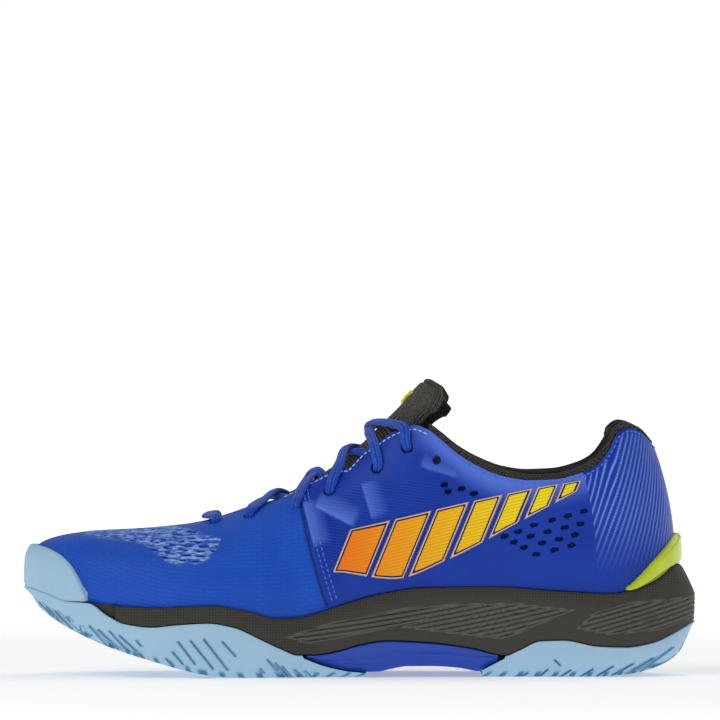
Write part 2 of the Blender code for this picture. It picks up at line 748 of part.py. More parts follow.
def collar(pins):
    knit = material("black_collar_knit", 0.012, 0.012, 0.012, 0.95)
    foam = material("collar_foam", 0.3, 0.3, 0.28, 0.95)
    lateral = at(COLLAR_FRONT, "lateral") - ROUND
    medial = at(COLLAR_FRONT, "medial")
    us = np.linspace(lateral, medial, 35)
    inner = []
    for v in (-1.0, -0.5, 0.0, 0.25, 0.5, 0.62, 0.75, 0.88, 1.0):
        level_v = above_board(us) * -v if v < 0 else np.full(len(us), v)
        inner.append((level_v, LINING_DEPTH + pad_depth(us, level_v)))
    rows = [skin(us, v, deep) for v, deep in inner]
    edge = skin(us, 1.0, 0.0)
    inward = skin(us, 1.0, 1.0) - edge
    rising = skin_surface(us, 1.0) - skin_surface(us, 0.98)
    rising /= np.linalg.norm(rising, axis=-1, keepdims=True)
    over = LINING_DEPTH + pad_depth(us, np.ones(len(us)))
    for turn in (30, 60, 90, 120, 150, 180):
        c = math.cos(math.radians(turn))
        s = math.sin(math.radians(turn))
        roll = COLLAR_ROLL * (0.55 + 0.45 * (over / over.max()))
        deep = LINING_WALL + (over - LINING_WALL) / 2 * (1 + c)
        rows.append(edge + inward * deep[:, None] + rising * (roll * s + LAYER_PLAY)[:, None])
    lining = sheet("collar_lining", np.stack(rows, axis=1), LINING_WALL, knit)
    punch(lining, pins["medial"], pins["lateral"])
    foam_start = at(COLLAR_FOAM_FRONT, "lateral") - ROUND
    grid_u = us[(us > foam_start) & (us < at(COLLAR_FOAM_FRONT, "medial"))]
    outer_rows = []
    inner_rows = []
    for v in (0.62, 0.75, 0.88, 0.97):
        vs = np.full(len(grid_u), v)
        outer_rows.append(skin(grid_u, vs, STIFFENER_DEPTH + 0.6))
        deep = LINING_DEPTH + pad_depth(grid_u, vs) - FOAM_PLAY
        inner_rows.append(skin(grid_u, vs, np.maximum(deep, STIFFENER_DEPTH + 1.2)))
    ring = outer_rows + inner_rows[::-1]
    loft("collar_foam", np.stack(ring, axis=1), foam)


def loft(name, grid, look):
    """Closed solid from a row of closed sections, each section a ladder of matching points."""
    rows, side = grid.shape[:2]
    faces = []
    for r in range(rows - 1):
        for c in range(side):
            d = (c + 1) % side
            faces.append((r * side + c, r * side + d, (r + 1) * side + d, (r + 1) * side + c))
    last = (rows - 1) * side
    for c in range(side // 2 - 1):
        quad = (c, side - 1 - c, side - 2 - c, c + 1)
        faces.append(quad)
        faces.append(tuple(last + corner for corner in reversed(quad)))
    made = add_mesh(name, grid.reshape(-1, 3), faces, look)
    shape = bmesh.new()
    shape.from_mesh(made.data)
    bmesh.ops.recalc_face_normals(shape, faces=shape.faces)
    shape.to_mesh(made.data)
    shape.free()
    return made


def toe_guard():
    look = material("toe_guard_rubber", 0.34, 0.52, 0.65, 0.55)
    patch("toe_guard", seam("medial", -121.5, -121.5), seam("lateral", -121.5, -121.5),
          level(0.01), height_level(GUARD_TOP), -(OVERLAY_PLAY + TOE_GUARD_WALL), TOE_GUARD_WALL,
          look, 20, 4)


def heel_clip():
    look = material("clear_yellow_tpu", 0.55, 0.67, 0.02, 0.15)
    lateral = seam("lateral", 119, 119)
    patch("heel_clip", lambda v: lateral(v) - ROUND, seam("medial", 119, 119), level(0.02),
          height_level(CLIP_TOP), -(OVERLAY_PLAY + HEEL_CLIP_WALL), HEEL_CLIP_WALL, look, 14, 3)


# Outline of the printed flash in side view: a tapering wedge from the collar to the arch
FLASH_TOP = line_of([(-8, 64), (20, 70.5), (50, 77.5), (80, 83.8), (101, 87)])
FLASH_LOW = line_of([(-8, 46), (15, 43), (40, 52), (70, 68), (101, 84.5)])


def flashes():
    look = material("orange_flash_film", 1.0, 0.25, 0.01, 0.35)
    for side in SIDES:
        xs = np.linspace(-8, 99, 15)
        rows = []
        for share in (0.0, 0.33, 0.67, 1.0):
            low, top = FLASH_LOW(stretch_x(xs)), FLASH_TOP(stretch_x(xs))
            z = (low + (top - low) * share) * DRAWN_HEIGHT / COLLAR_HEIGHT
            u, v = place(xs, z, side)
            rows.append(skin(u, v, -(OVERLAY_PLAY + FLASH_WALL)))
        grid = np.stack(rows, axis=1)
        if side == "medial":
            grid = grid[::-1]
        sheet(side + "_flash", grid, FLASH_WALL, look)


# ---------------------------------------------------------------- lacing and tongue

LACE_RADIUS = LACE_DIAMETER / 2
LACE_OUT = -(LACE_RADIUS + LACE_PLAY)
LACE_IN = EYESTAY_DEPTH + STIFFENER_WALL + LACE_RADIUS + LACE_PLAY
TONGUE_DEPTH = LACE_IN + LACE_RADIUS + 3.5 * LACE_PLAY

# Middle line of the tongue's outer face in side view
TONGUE_TOP = line_of([(-64, 61), (-54, 67), (-44, 73), (-34, 79), (-20, 86.5), (-8, 94.8),
                      (3, 104), (13, 114), (18.5, 119.5)])
# Each row: x on the middle line, and the throat edge's x that the row's sides lie under
TONGUE_ROWS = [(-62, -60), (-54, -52), (-44, -43), (-33, -34), (-21, -24), (-9, -13), (2, -1),
               (12, 11)]
# Free end of the tongue: middle x, z; side x, z; half width
TONGUE_TIP = [(18.5, 119.5, 26, 112, 14.5), (23.5, 125.5, 33, 118, 16.5), (28, 130, 36, 124, 15.5),
              (31.5, 132.4, 36, 129.5, 10)]
TONGUE_LEVELS = (0.72, 0.79, 0.86, 0.93)


def top_u(x, side):
    """u where the throat or collar edge passes drawn position x."""
    us = FINE_U[:TOE_INDEX] if side == "medial" else FINE_U[:TOE_INDEX:-1]
    edge = top_edge(us)[:, 0]
    return float(np.interp(-stretch_x(x), -edge, us))


def tongue_grid():
    rows = []
    for middle_x, side_x in TONGUE_ROWS:
        medial = skin(np.full(4, top_u(side_x, "medial")), np.array(TONGUE_LEVELS), TONGUE_DEPTH)
        lateral = skin(np.full(4, top_u(side_x, "lateral")), np.array(TONGUE_LEVELS),
                       TONGUE_DEPTH)
        x = stretch_x(middle_x)
        middle = np.array([[x, (medial[-1, 1] + lateral[-1, 1]) / 2, TONGUE_TOP(x)]])
        rows.append(np.concatenate([medial, middle, lateral[::-1]]))
    for middle_x, middle_z, side_x, side_z, half in TONGUE_TIP:
        b = np.array([-1, -0.78, -0.54, -0.28, 0, 0.28, 0.54, 0.78, 1])
        x = stretch_x(middle_x + (side_x - middle_x) * b * b)
        z = stretch_z(middle_z + (side_z - middle_z) * b * b)
        rows.append(np.stack([x, stretch_y(half * b), z], axis=-1))
    return np.array(rows)


def tongue_layer(grid, depth):
    along = np.gradient(grid, axis=0)
    across = np.gradient(grid, axis=1)
    outward = np.cross(along, across)
    outward /= np.linalg.norm(outward, axis=-1, keepdims=True)
    return grid - outward * depth


def tongue():
    knit = material("black_tongue_knit", 0.012, 0.012, 0.012, 0.95)
    foam = material("tongue_foam", 0.25, 0.25, 0.24, 0.95)
    woven = material("yellow_woven_label", 0.7, 0.75, 0.02, 0.7)
    grid = tongue_grid()
    pivot = bpy.data.objects.new("tongue_pivot", None)
    pivot.location = (grid[0, 4] * MM).tolist()
    pivot.location.y = 0
    SHOE.objects.link(pivot)
    pieces = []
    inner = TONGUE_KNIT + 2 * GAP
    for name, start, wall, look in (("tongue_knit", 0.0, TONGUE_KNIT, knit),
                                    ("tongue_foam", inner, TONGUE_FOAM, foam),
                                    ("tongue_lining", inner + TONGUE_FOAM + 2 * GAP, LINING_WALL,
                                     knit)):
        layer = tongue_layer(grid, start)
        if name == "tongue_foam":
            layer = layer[1:-1, 1:-1]
        pieces.append(sheet(name, layer[:, ::-1], wall, look))
    label = tongue_layer(grid, -(GAP + LABEL_WALL))[8:10, 3:6]
    pieces.append(sheet("tongue_label", label[:, ::-1], LABEL_WALL, woven))
    for piece in pieces:
        piece.data.transform(mathutils.Matrix.Translation(-pivot.location))
        piece.parent = pivot


def lace_route():
    """The laced stretch, from the lateral top eyelet round the front bar to the medial one."""
    spots = {s: place([e[0] for e in EYELETS], [e[1] for e in EYELETS], s) for s in SIDES}

    def on(side, row, back, rise, depth):
        """Point near an eyelet: back toward the heel in mm, and rise toward the edge."""
        u, v = spots[side][0][row], spots[side][1][row]
        heelward = -1 if side == "medial" else 1
        v = v + (1 - v) * rise
        return skin(u + heelward * back, v, depth)

    def middle(row, share, lift):
        x = EYELETS[row][0] + (EYELETS[row + 1][0] - EYELETS[row][0]) * share
        x = stretch_x(x)
        return np.array([x, 0.0, float(TONGUE_TOP(x)) + lift])

    def half(side, lift):
        other = {"medial": "lateral", "lateral": "medial"}
        route = [on(side, 0, 0, 0.1, LACE_OUT), on(side, 0, 0, 0, UPPER_WALL),
                 on(side, 0, 1, -0.1, LACE_IN), middle(0, 0.45, lift + 1.0)]
        here = other[side]
        route += [on(here, 1, -3, 0.3, LACE_IN)]
        for row in range(1, 5):
            there = other[here]
            route += [on(here, row, -0.5, 0, LACE_IN), on(here, row, 0, 0, UPPER_WALL),
                      on(here, row, 1.0, 0.1, LACE_OUT), on(here, row, 3.5, 1.0, LACE_OUT)]
            route += [middle(row, 0.6 if row < 4 else 0.3, lift + (0.7 if row < 4 else 1.6))]
            if row < 4:
                route += [on(there, row + 1, -5, 1.0, LACE_IN + 0.1),
                          on(there, row + 1, -3, 0.4, LACE_IN + 0.7)]
            else:
                route += [on(there, 5, -3, 1.0, LACE_OUT), on(there, 5, -0.5, 0.25, LACE_OUT),
                          on(there, 5, 0, 0, UPPER_WALL),
                          on(there, 5, 0, 0, LACE_IN + 0.2 - LACE_RADIUS)]
            here = there
        return route

    low = LACE_RADIUS + 3 * LACE_PLAY
    high = low + LACE_DIAMETER + LACE_PLAY
    lateral_half = half("medial", low)
    medial_half = half("lateral", high)
    bar = [skin(top_u(-67.5, "medial"), 1.0, LACE_OUT - 0.6)]
    return np.array(lateral_half[::-1] + bar + medial_half)


def tube(name, route, diameter, look):
    curve = bpy.data.curves.new(name, "CURVE")
    curve.dimensions = "3D"
    spline = curve.splines.new("POLY")
    spline.points.add(len(route) - 1)
    for point, spot in zip(spline.points, route):
        point.co = (*(np.asarray(spot) * MM), 1)
    curve.bevel_depth = diameter / 2 * MM
    curve.bevel_resolution = 2
    curve.use_fill_caps = True
    made = bpy.data.objects.new(name, curve)
    SHOE.objects.link(made)
    curve.materials.append(look)
    return made


# Loose end of the lace inside the shoe, from the collar's front down and along the sockliner
END_ON_SOCKLINER = [(15, 17), (4, 16.5), (-8, 19), (-22, 23), (-38, 27), (-54, 29), (-68, 28),
                    (-78, 24), (-82, 17.5), (-78, 11.5), (-68, 9)]
AGLET_ON_SOCKLINER = [(-66.4, 8.9), (-49, 8.4)]


def smooth_route(points, count):
    """Evenly spaced points on a smooth curve through a route."""
    points = np.asarray(points, float)
    padded = np.concatenate([[2 * points[0] - points[1]], points, [2 * points[-1] - points[-2]]])
    fine = []
    for i in range(len(points) - 1):
        a, b, c, d = padded[i:i + 4]
        for t in np.linspace(0, 1, 12, endpoint=False):
            fine.append(0.5 * (2 * b + (c - a) * t + (2 * a - 5 * b + 4 * c - d) * t ** 2
                               + (3 * b - a - 3 * c + d) * t ** 3))
    fine = np.array(fine + [points[-1]])
    run = np.concatenate([[0], np.cumsum(np.linalg.norm(np.diff(fine, axis=0), axis=1))])
    even = np.linspace(0, run[-1], count)
    return np.stack([np.interp(even, run, fine[:, k]) for k in range(3)], axis=-1)


def sockliner_top(x):
    return float(FOOTBED(x)) + 2 * GAP + STROBEL_WALL + SOCKLINER_WALL


# The same end above that: down the inside of the wall, drawn x, z and depth past the lining
END_ON_WALL = [(29.5, 92.5, 2.0), (33, 84, 1.5), (34, 70, 1.5), (31, 55, 2.0), (24, 43, 3.5)]


def lace_end_route(side):
    """From inside the top eyelet down the wall to the sockliner, forward and back again."""
    u, v = place([EYELETS[5][0]], [EYELETS[5][1]], side)
    inside = LINING_DEPTH + LINING_WALL + LACE_RADIUS + LACE_PLAY
    route = [skin(u, v, LACE_IN + 0.1)[0], skin(u, v - 0.003, LACE_IN + 0.9)[0]]
    turn_u, turn_v = place([25.5], [97], side)
    route.append(skin(turn_u, turn_v, LACE_IN + 1.2)[0])
    for x, z, past in END_ON_WALL:
        wall_u, wall_v = place([x], [z], side)
        route.append(skin(wall_u, wall_v, inside + past)[0])
    rest = LACE_RADIUS + LAYER_PLAY + GAP
    for x, y in END_ON_SOCKLINER:
        x = stretch_x(x)
        route.append(np.array([x, SIDES[side] * y, sockliner_top(x) + rest]))
    return np.array(route)


def lacing():
    look = material("blue_tubular_lace", 0.012, 0.08, 0.62, 0.85)
    tip = material("clear_aglet_film", 0.05, 0.1, 0.5, 0.25)
    tube("lace", lace_route(), LACE_DIAMETER, look)
    for side, across in SIDES.items():
        tube("lace_end_" + side, smooth_route(lace_end_route(side), 34), LACE_DIAMETER, look)
        rest = AGLET_DIAMETER / 2 + LAYER_PLAY
        ends = []
        for x, y in AGLET_ON_SOCKLINER:
            x = stretch_x(x)
            ends.append((x, across * y, sockliner_top(x) + rest))
        tube("aglet_" + side, ends, AGLET_DIAMETER, tip)


# ---------------------------------------------------------------- assembly

PINS = eyelet_cutters()
midsole()
gel_pads()
outsoles()
midfoot_shank()
bottom_boards()
upper_shell(PINS)
eyestays(PINS)
stiffeners()
forefoot_lining()
collar(PINS)
toe_guard()
heel_clip()
flashes()
tongue()
lacing()
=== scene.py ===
"""A low court shoe: moulded sole unit, synthetic upper, knitted collar and tongue, tubular laces.

Lengths are millimetres until a mesh is made.  The toe points to -X, the inner side is -Y.
"""
import math

import bmesh
import bpy
import numpy as np
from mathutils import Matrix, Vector


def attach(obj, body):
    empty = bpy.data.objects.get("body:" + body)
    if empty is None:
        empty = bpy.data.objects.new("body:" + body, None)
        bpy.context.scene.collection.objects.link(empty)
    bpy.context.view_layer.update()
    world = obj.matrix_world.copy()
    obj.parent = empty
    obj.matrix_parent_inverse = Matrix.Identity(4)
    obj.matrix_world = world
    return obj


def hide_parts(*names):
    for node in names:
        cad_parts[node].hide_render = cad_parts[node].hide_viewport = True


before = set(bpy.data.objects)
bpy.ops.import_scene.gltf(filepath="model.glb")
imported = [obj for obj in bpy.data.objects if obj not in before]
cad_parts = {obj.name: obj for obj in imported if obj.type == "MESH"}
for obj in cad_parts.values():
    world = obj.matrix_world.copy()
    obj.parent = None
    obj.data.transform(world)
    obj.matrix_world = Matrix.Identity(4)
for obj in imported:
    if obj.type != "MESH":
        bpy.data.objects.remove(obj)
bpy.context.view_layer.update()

# ------------------------------------------------------------------ studio
# A pale paper sweep under two broad soft boxes and a white surround, as for a catalogue shot.
# The camera stands level with the shoe, on its inner side, with a long lens.

MM = 0.001
ROOM_COLOUR = "#ffffff"
PAPER_COLOUR = "#fbfbfb"
CAMERA_DISTANCE = 6000.0
CAMERA_RISE = 0.7
FRAME_WIDTH = 319.8
FRAME_MIDDLE = (0.1, 0, 139.4)
SENSOR_WIDTH = 36.0
CLIP_END = 60
SOFT_BOXES = [("key_box", (-900, -1100, 1300), 1400, 9.5), ("rim_box", (700, 900, 1500), 1400, 7),
              ("fill_box", (1300, -1200, 500), 1300, 2.0)]
ROOM_LIGHT = 0.32
PAPER_HALF = 12.0
PAPER_DROP = 0.0003
HORIZON_BAND = (0.08, 0.2)
PAPER_GLOW_COLOUR = "#ffffff"
PAPER_GLOW = (0.34, 0.8)
GLOW_REACH = (0.35, 2.2)
SOFT_SHINE = 0.22


def linear(hex_colour):
    """An sRGB hex colour as linear red, green, blue and alpha."""
    parts = [int(hex_colour[i:i + 2], 16) / 255 for i in (1, 3, 5)]
    return [c / 12.92 if c <= 0.04045 else ((c + 0.055) / 1.055) ** 2.4 for c in parts] + [1.0]


def feed(look, target, inputs):
    """Sets a node's inputs, each to a value, a hex colour or a (node, output) pair."""
    for key, value in inputs.items():
        if isinstance(value, tuple) and isinstance(value[0], bpy.types.Node):
            look.node_tree.links.new(value[0].outputs[value[1]], target.inputs[key])
        else:
            value = linear(value) if isinstance(value, str) else value
            target.inputs[key].default_value = value


def node(look, kind, inputs=None, **settings):
    """Adds a node to a material with its settings, values and links."""
    made = look.node_tree.nodes.new("ShaderNode" + kind)
    for key, value in settings.items():
        setattr(made, key, value)
    feed(look, made, inputs or {})
    return made


def shade(look, inputs):
    """Sets or links inputs of a material's one shader."""
    feed(look, look.node_tree.nodes["Principled BSDF"], inputs)


def new_look(name, colour, roughness, **shader_values):
    """A material with its shader's plain values, ready for more nodes."""
    look = bpy.data.materials.new(name)
    look.use_nodes = True
    look.diffuse_color = linear(colour)
    shade(look, {"Base Color": colour, "Roughness": roughness, "Specular IOR Level": SOFT_SHINE})
    shade(look, {key.replace("_", " "): value for key, value in shader_values.items()})
    return look


def emboss(look, height, strength, distance):
    """A fine relief on a material; distance is its depth in metres."""
    bump = node(look, "Bump", {"Height": height, "Strength": strength, "Distance": distance})
    shade(look, {"Normal": (bump, "Normal")})


def aim(thing, spot, target):
    thing.location = Vector(spot) * MM
    thing.rotation_euler = (Vector(target) * MM - thing.location).to_track_quat("-Z",
                                                                                "Y").to_euler()


lens = bpy.data.cameras.new("studio_camera")
lens.sensor_width = SENSOR_WIDTH
lens.lens = SENSOR_WIDTH * CAMERA_DISTANCE / FRAME_WIDTH
lens.clip_end = CLIP_END
camera = bpy.data.objects.new("studio_camera", lens)
bpy.context.scene.collection.objects.link(camera)
bpy.context.scene.camera = camera
rise = math.radians(CAMERA_RISE)
aim(camera, (FRAME_MIDDLE[0], -CAMERA_DISTANCE * math.cos(rise),
             FRAME_MIDDLE[2] + CAMERA_DISTANCE * math.sin(rise)), FRAME_MIDDLE)

for box_name, spot, size, power in SOFT_BOXES:
    lamp = bpy.data.lights.new(box_name, "AREA")
    lamp.shape = "SQUARE"
    lamp.size = size * MM
    lamp.energy = power
    lamp_object = bpy.data.objects.new(box_name, lamp)
    bpy.context.scene.collection.objects.link(lamp_object)
    aim(lamp_object, spot, (0, 0, 50))

room = bpy.data.worlds.new("white_surround")
room.use_nodes = True
looking = node(room, "TexCoord")
heading = node(room, "SeparateXYZ", {"Vector": (looking, "Generated")})
height = node(room, "MapRange", {"Value": (heading, "Z"), "From Min": HORIZON_BAND[0],
                                 "From Max": HORIZON_BAND[1], "To Min": 1.0, "To Max": ROOM_LIGHT})
surround = room.node_tree.nodes["Background"]
feed(room, surround, {"Color": ROOM_COLOUR, "Strength": (height, 0)})
bpy.context.scene.world = room
bpy.context.scene.view_settings.view_transform = "Standard"

# Uncoated paper: matt, with a fine grain.
paper = new_look("matt_paper", PAPER_COLOUR, 0.9)
grain = node(paper, "TexNoise", {"Scale": 900.0, "Detail": 3.0})
emboss(paper, (grain, "Fac"), 0.05, 0.0001)
# The paper also glows as painted light: dimmer near the shoe and brighter further out, so the
# backdrop reads white.
shade(paper, {"Emission Color": PAPER_GLOW_COLOUR})
spot = node(paper, "TexCoord")
reach = node(paper, "VectorMath", {0: (spot, "Object")}, operation="LENGTH")
glow = node(paper, "MapRange", {"Value": (reach, "Value"), "From Min": GLOW_REACH[0],
                                "From Max": GLOW_REACH[1], "To Min": PAPER_GLOW[0],
                                "To Max": PAPER_GLOW[1]})
shade(paper, {"Emission Strength": (glow, 0)})
sheet = [(x, y, 0.0) for x, y in ((-1, -1), (1, -1), (1, 1), (-1, 1))]
floor_mesh = bpy.data.meshes.new("paper_sweep")
floor_mesh.from_pydata([Vector(point) * PAPER_HALF for point in sheet], [], [(0, 1, 2, 3)])
floor_mesh.materials.append(paper)
floor = bpy.data.objects.new("paper_sweep", floor_mesh)
floor.location.z = -PAPER_DROP
bpy.context.scene.collection.objects.link(floor)

# ------------------------------------------------------------------ midsole
# The foam cup that the foot stands in: compression-moulded black EVA, sculpted on its sides
# with long rising grooves, with a fine knurl from the mould on the plain parts.


def line_of(points):
    """Height along the shoe through (x, z) points, smooth and without overshoot."""
    xs = np.array([p[0] for p in points], float)
    zs = np.array([p[1] for p in points], float)
    step = np.diff(xs)
    rate = np.diff(zs) / step
    slope = np.zeros(len(xs))
    same = rate[:-1] * rate[1:] > 0
    near, far = rate[:-1][same], rate[1:][same]
    slope[1:-1][same] = 2.0 * near * far / (near + far)
    slope[0], slope[-1] = rate[0], rate[-1]

    def height(x):
        x = np.clip(np.asarray(x, float), xs[0], xs[-1])
        i = np.clip(np.searchsorted(xs, x) - 1, 0, len(step) - 1)
        t = (x - xs[i]) / step[i]
        start = (1 + 2 * t) * (1 - t) ** 2 * zs[i] + t * (1 - t) ** 2 * step[i] * slope[i]
        end = t * t * (3 - 2 * t) * zs[i + 1] + t * t * (t - 1) * step[i] * slope[i + 1]
        return start + end

    return height


def closed_curve(knots, rows):
    """Closed cubic spline: rows[i] is its value at knots[i], and rows[0] again at knots[-1]."""
    rows = np.asarray(rows, float)
    count = len(rows)
    step = np.diff(knots)
    matrix = np.zeros((count, count))
    pull = np.zeros_like(rows)
    for i in range(count):
        before, after = step[i - 1], step[i]
        matrix[i, i - 1] += before
        matrix[i, i] += 2 * (before + after)
        matrix[i, (i + 1) % count] += after
        pull[i] = 6 * ((rows[(i + 1) % count] - rows[i]) / after - (rows[i] - rows[i - 1]) / before)
    bend = np.linalg.solve(matrix, pull)

    def value(u):
        u = np.mod(np.asarray(u, float), knots[-1])
        i = np.clip(np.searchsorted(knots, u, side="right") - 1, 0, count - 1)
        j = (i + 1) % count
        h = step[i]
        a = ((knots[i + 1] - u) / h)[..., None]
        b = ((u - knots[i]) / h)[..., None]
        h = h[..., None]
        curve = a * rows[i] + b * rows[j]
        return curve + ((a ** 3 - a) * bend[i] + (b ** 3 - b) * bend[j]) * h * h / 6

    return value


# Each row: sole edge x, medial y, lateral y; top edge x, medial y, lateral y;
# lean of the wall, fold of the wall in degrees, fullness of its curve
STATIONS = [
    (149.0, 0, 0, 130, 0, 0, 9.2, 20, 2.0), (142.5, -20.5, 19.5, 126.5, -14, 13.5, 8.2, 20, 2.0),
    (125, -35.5, 34.5, 112, -27, 26.5, 6.0, 22, 2.0), (97, -40.5, 41, 92, -33, 33, 4.8, 26, 2.0),
    (66, -39, 43.5, 66, -33.5, 34, 4.8, 31, 2.0), (36, -37.5, 46.5, 37, -26.5, 27.5, 5.0, 41, 2.0),
    (5, -41.5, 52, 8, -18.5, 19.5, 5.0, 56, 2.05), (-30, -51, 56.5, -24, -15, 16, 4.5, 70, 2.15),
    (-66, -56.5, 55.5, -49, -12.5, 13, 4.0, 80, 2.3),
    (-102, -52, 47, -61.5, -8.5, 8.8, 3.5, 90, 2.6),
    (-131, -38, 31, -66.5, -4.4, 4.4, 2.9, 90, 3.6), (-149.0, -7, -7, -68, 0, 0, 2.6, 90, 5.4)]
SIDES = {"medial": -1, "lateral": 1}
GAP = 0.35
TUCK_LEAN = 4.0
RIM_WALL = 2.6
RUBBER_LIP = 2.1
WELD_DISTANCE = 0.02
SHARP_ANGLE = 48


def loop_of(medial_row, lateral_row):
    rows = [medial_row(s) for s in STATIONS] + [lateral_row(s) for s in STATIONS[-2:0:-1]]
    return np.array(rows, float)


SOLE_LOOP = loop_of(lambda s: (s[0], s[1]), lambda s: (s[0], s[2]))
CHORDS = np.linalg.norm(np.roll(SOLE_LOOP, -1, axis=0) - SOLE_LOOP, axis=1)
KNOTS = np.concatenate([[0.0], np.cumsum(CHORDS)])
ROUND = KNOTS[-1]
sole_edge = closed_curve(KNOTS, SOLE_LOOP)
top_edge = closed_curve(KNOTS, loop_of(lambda s: (s[3], s[4]), lambda s: (s[3], s[5])))
wall_shape = closed_curve(KNOTS, loop_of(lambda s: s[6:], lambda s: s[6:]))
FINE_U = np.linspace(0, ROUND, 2801)
FINE_X = sole_edge(FINE_U)[:, 0]
TOE_INDEX = int(np.argmin(FINE_X))
TOE_U = FINE_U[TOE_INDEX]

BITE = line_of([(-149, 40.5), (-140, 38), (-130, 34.6), (-120, 34.5), (-105, 32), (-90, 31.4),
                (-65, 32.3), (-50, 30), (-35, 26.6), (-25, 27.2), (-5, 33), (10, 37), (30, 39.8),
                (60, 40), (90, 38.2), (112, 37.2), (123, 39), (133, 42.5), (140, 46.5),
                (144, 49.5)])
GROUND = line_of([(-147, 35.5), (-143, 31), (-135, 25), (-125, 19.5), (-110, 13), (-100, 9.7),
                  (-90, 6.7), (-80, 3.9), (-70, 1.5), (-60, 0.3), (-52, 0), (104, 0), (112, 0.4),
                  (122, 1.4), (131, 3.8), (139, 7.8), (145, 14), (148, 21)])
FOAM_EDGE = line_of([(-149, 39.3), (-140, 36.8), (-130, 33.4), (-120, 32.6), (-112, 27.5),
                     (-104, 23.7), (-92, 22.2), (-80, 23.3), (-67, 24), (-55, 22), (-45, 17.5),
                     (-35, 12.8), (-27, 9.8), (-20, 9.7), (-10, 11.2), (0, 14), (12, 15.8),
                     (30, 14.9), (50, 12.3), (60, 9.7), (64, 9.2), (70, 11.5), (80, 15.7),
                     (90, 16), (105, 13.4), (118, 12.9), (130, 14.8), (140, 19), (149, 23.8)])
FOOTBED = line_of([(-149, 33.6), (-140, 32.6), (-130, 29.6), (-120, 26), (-100, 19.2),
                   (-80, 14.8), (-60, 13.2), (-40, 13.6), (-10, 16.8), (20, 20), (60, 21.4),
                   (110, 21.8), (149, 24)])


def at(x, side):
    """u where the sole's edge passes x on one side."""
    if side == "medial":
        return float(np.interp(-x, -FINE_X[:TOE_INDEX + 1], FINE_U[:TOE_INDEX + 1]))
    return float(np.interp(x, FINE_X[TOE_INDEX:], FINE_U[TOE_INDEX:]))


def unit(vectors):
    return vectors / np.maximum(np.linalg.norm(vectors, axis=-1, keepdims=True), 1e-9)


def inset_edge(u, inset):
    """The sole's edge moved in by inset, as x and y."""
    along = unit(sole_edge(np.asarray(u) + 0.5) - sole_edge(np.asarray(u) - 0.5))
    inward = np.stack([along[..., 1], -along[..., 0]], -1)
    moved = sole_edge(u) + inward * np.asarray(inset)[..., None]
    return moved[..., 0], moved[..., 1]


def section(u, rows):
    """Points of half a section across the sole, from (inset, height) rows, at every u."""
    points = []
    for inset, z in rows:
        x, y = inset_edge(u, inset * np.ones_like(u))
        points.append(np.stack([x, y, z * np.ones_like(u)], -1))
    return np.stack(points, axis=1)


def rungs(front, rear, count):
    """Matching medial and lateral u from rear to front, closer together at the two ends."""
    share = (1 - np.cos(np.linspace(0, math.pi, count))) / 2
    start = (0.0, ROUND) if rear is None else (at(rear, "medial"), at(rear, "lateral"))
    stop = (TOE_U, TOE_U) if front is None else (at(front, "medial"), at(front, "lateral"))
    if front is not None or rear is not None:
        share = np.linspace(0, 1, count) * 0.5 + share * 0.5
    return start[0] + (stop[0] - start[0]) * share, start[1] + (stop[1] - start[1]) * share


def smooth_step(x, low, high):
    t = np.clip((x - low) / (high - low), 0, 1)
    return t * t * (3 - 2 * t)


def within(x, z, corners, soft):
    """1 inside a convex outline given anticlockwise, falling to 0 at its edge."""
    depth = np.full(np.shape(x), 1e3)
    for (ax, az), (bx, bz) in zip(corners, corners[1:] + corners[:1]):
        run = math.hypot(bx - ax, bz - az)
        depth = np.minimum(depth, ((bx - ax) * (z - az) - (bz - az) * (x - ax)) / run)
    return smooth_step(depth, 0, soft)


def quads(index, closed=False):
    """Faces between the rows of a grid of point numbers; closed rows meet their own start."""
    following = np.roll(index, -1, axis=1)
    if not closed:
        index, following = index[:, :-1], following[:, :-1]
    faces = np.stack([index[:-1], following[:-1], following[1:], index[1:]], -1)
    return faces.reshape(-1, 4).tolist()


def wall_run(points):
    """Length along each row of a grid, up to every point, in millimetres."""
    steps = np.diff(points, axis=1, prepend=points[:, :1])
    return np.cumsum(np.linalg.norm(steps, axis=2), axis=1)


def stacked(red, green=0.0, blue=0.0):
    """Three masks for make_piece."""
    return np.stack(np.broadcast_arrays(red, green, blue), -1)


def make_piece(name, points, faces, looks, uv=None, marks=None, body="shoe", weld=False):
    """A mesh piece riding on a body; uv is in millimetres, marks are masks for its material."""
    mesh = bpy.data.meshes.new(name)
    mesh.from_pydata((np.asarray(points) * MM).tolist(), [], faces)
    if uv is not None:
        corner = np.empty(len(mesh.loops), np.int32)
        mesh.loops.foreach_get("vertex_index", corner)
        layer = mesh.uv_layers.new(name="millimetres")
        layer.data.foreach_set("uv", np.asarray(uv, np.float32)[corner].ravel())
    if marks is not None:
        colour = np.ones((len(points), 4), np.float32)
        colour[:, :3] = marks
        mask = mesh.color_attributes.new("masks", "FLOAT_COLOR", "POINT")
        mask.data.foreach_set("color", colour.ravel())
    shape = bmesh.new()
    shape.from_mesh(mesh)
    if weld:
        bmesh.ops.remove_doubles(shape, verts=shape.verts, dist=WELD_DISTANCE * MM)
    bmesh.ops.recalc_face_normals(shape, faces=shape.faces)
    shape.to_mesh(mesh)
    shape.free()
    for look in looks:
        mesh.materials.append(look)
    mesh.shade_smooth()
    mesh.set_sharp_from_angle(angle=math.radians(SHARP_ANGLE))
    made = bpy.data.objects.new(name, mesh)
    bpy.context.scene.collection.objects.link(made)
    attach(made, body)
    return made


